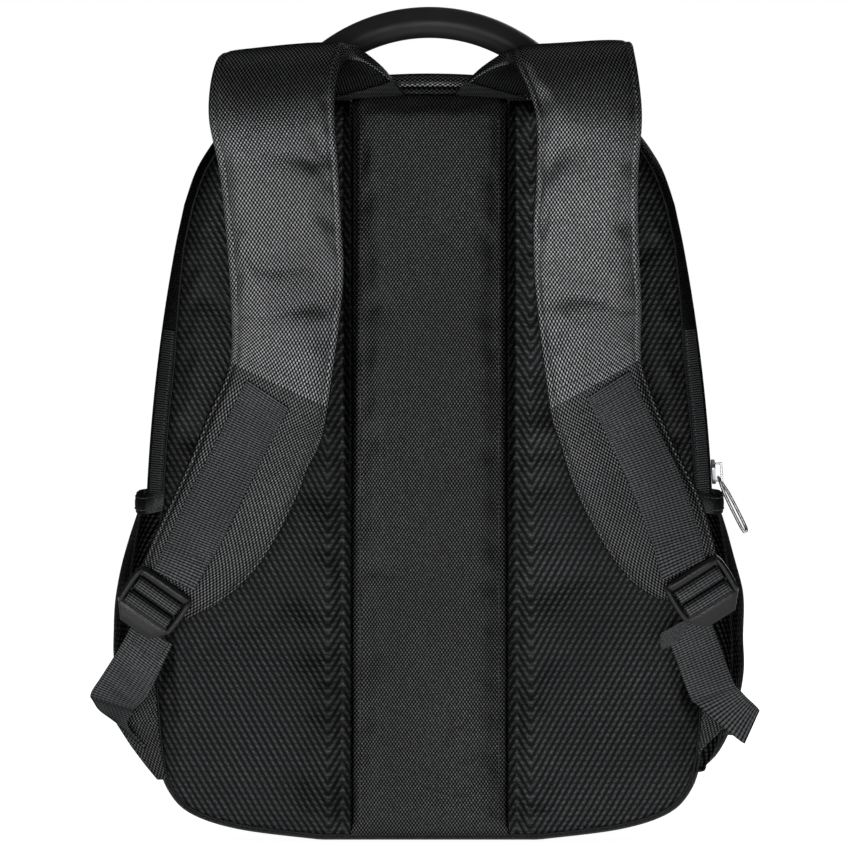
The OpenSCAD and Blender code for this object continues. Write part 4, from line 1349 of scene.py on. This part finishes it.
def make_buckles():
    parts = [bar_rings(*bar) for bar in BARS] + [rail_rings(-1), rail_rings(1), lip_rings()]
    for sign, name in SIDES:
        lock = tubes(f"buckle_frame_{name}", [in_buckle(p, sign) for p in parts], PLASTIC)
        dress(lock, f"buckle_{name}", "black_plastic", f"ladder_lock_{name}")
        loops = (("webbing_lock_loop", -3.4, -12.2, []),
                 ("webbing_grip_loop", -13.4, -21.6, [f"webbing_turn_{name}"]))
        for piece, top, bottom, nodes in loops:
            lower = [[0, y, bottom + rise] for y, rise in LOOP_END]
            upper = [[0, y, top - rise] for y, rise in LOOP_END[::-1]]
            path = even(smooth(lower + [[0, -2.4, (top + bottom) / 2]] + upper, 6), 0.8)
            side = np.cross(way_of(path), [1, 0, 0])
            rings = sweep(path, round_section(WEBBING_W / 2, 0.75, 16, 0.35), side)
            webbing_tube(f"{piece}_{name}", in_buckle(rings, sign), f"buckle_{name}", *nodes)


# [height, sideways] of each anchor tab's free edge
ANCHOR_EDGE = {
    LEFT: [[37, -163.5], [46, -171], [58, -180], [72, -189], [92, -176], [103.5, -165]],
    RIGHT: [[37, -152], [46, -157], [58, -166], [74, -183], [92, -174], [103.5, -165]]}


def make_anchor_tabs():
    z = np.linspace(37.5, 102.5, 40)
    for sign, name in SIDES:
        far = np.interp(z, *np.transpose(ANCHOR_EDGE[sign]))
        near = -half_width(z) + 8
        x = near[:, None] + (far - near)[:, None] * np.linspace(0, 1, 15)
        p = xyz(x * -sign, -77.4, z[:, None])
        cloth_wall(f"anchor_cloth_{name}", p, -WALL_T * sign, WOVEN_CENTRE, "bag", "back_sheet",
                   f"anchor_tab_{name}")
        lines = [(p[2:-2, column] - [0, 0.3, 0], (0, -1, 0)) for column in (-2, 4)]
        stitches(f"anchor_stitches_{name}", lines, "bag", 2.8, 2.1)


PULL_HALF_W = 3.1
PULL_WIRE = 0.95  # half the wire's thickness
PULLS = (("main", 28), ("front", 6), ("upper", -5))  # and how far each is twisted, in degrees


def make_pull(part, twist):
    """A zip pull: an open loop of wire whose near end turns under the slider's bridge. It hangs
    a little askew."""
    joint = next(j for j in frame["joints"] if j["name"] == f"{part}_pull_swing")
    pivot = np.array(joint["pos_m"]) / MM
    corners = coordinates(frame["nodes"][f"{part}_pull"].data)
    reach = np.linalg.norm(corners - pivot, axis=1)
    along = unit(corners[reach > reach.max() - 1.5].mean(0) - pivot)
    across = unit(np.array(joint["axis"], float))
    out = np.cross(along, across)
    length = reach.max() - PULL_WIRE
    a = np.linspace(0, 2 * math.pi, 64, endpoint=False)
    x = length / 2 * (1 + signed_power(np.cos(a), 0.34))
    y = PULL_HALF_W * signed_power(np.sin(a), 0.6)
    spin = math.radians(twist) * ramp(x, 0, 12)
    path = pivot + along * x[:, None] + across * (y * np.cos(spin))[:, None] \
        + out * (y * np.sin(spin))[:, None]
    rings = sweep(path, round_section(PULL_WIRE, PULL_WIRE, 14), out, True)
    loop = tube(f"{part}_pull_loop", rings, CHROME, closed=True)
    dress(loop, f"{part}_pull", "chrome_metal", f"{part}_pull")


def make_hardware():
    make_buckles()
    make_anchor_tabs()
    for part, twist in PULLS:
        soften(f"{part}_slider", CHROME, 0.45)
        make_pull(part, twist)


# ---------- studio ----------

FLOOR = 30.0  # half the floor's width, in metres
# name, place, aim, (width, height) and power
LAMPS = (("front", (-0.45, -2.4, -0.05), (0, 0, 0.28), (1.6, 0.5), 20),
         ("key", (-1.9, -1.9, 1.5), (0, 0, 0.25), (0.9, 0.9), 2.5),
         ("back", (1.2, 2.4, 1.6), (0, 0, 0.25), (1.6, 1.6), 21))


def make_floor():
    mesh = bpy.data.meshes.new("floor")
    corners = [(-FLOOR, -FLOOR, 0), (FLOOR, -FLOOR, 0), (FLOOR, FLOOR, 0), (-FLOOR, FLOOR, 0)]
    mesh.from_pydata(corners, [], [(0, 1, 2, 3)])
    floor = add_object("floor", mesh)
    paper = Nodes("floor_paper", Roughness=0.9, Specular_IOR_Level=0.1, Emission_Strength=0.96,
                  Emission_Color=(1, 1, 1, 1))
    paper.put(paper.shader.inputs["Base Color"],
              paper.mix(paper.noise(3.0), (0.8,) * 3, (0.86,) * 3))
    mesh.materials.append(paper.material)


def make_world():
    """A white backdrop that lights the scene only a little."""
    world = bpy.data.worlds.new("studio")
    bpy.context.scene.world = world
    world.use_nodes = True
    tree = world.node_tree
    background = tree.nodes["Background"]
    background.inputs[0].default_value = (1, 1, 1, 1)
    path = tree.nodes.new("ShaderNodeLightPath")
    level = tree.nodes.new("ShaderNodeMapRange")
    tree.links.new(path.outputs["Is Camera Ray"], level.inputs["Value"])
    level.inputs["To Min"].default_value = 0.06
    level.inputs["To Max"].default_value = 1.0
    tree.links.new(level.outputs[0], background.inputs[1])


def make_lamps():
    for name, at, aim, size, power in LAMPS:
        data = bpy.data.lights.new(name, "AREA")
        data.shape = "RECTANGLE"
        data.size, data.size_y = size
        data.energy = power
        lamp = add_object(name, data)
        lamp.visible_camera = False
        look(lamp, at, aim)
    sun = bpy.data.lights.new("overhead", "SUN")
    sun.energy = 0.15
    sun.angle = math.radians(70)
    add_object("overhead", sun)


def make_studio():
    make_floor()
    make_world()
    make_lamps()
    bpy.context.scene.view_settings.view_transform = "Standard"


make_gussets()
make_front_wall()
make_back()
make_main_zip()
make_pads()
make_centre()
make_root_binding()
make_root_strips()
make_straps()
make_side_pockets()
make_front_pockets()
make_inside()
make_handle()
make_hardware()
make_studio()
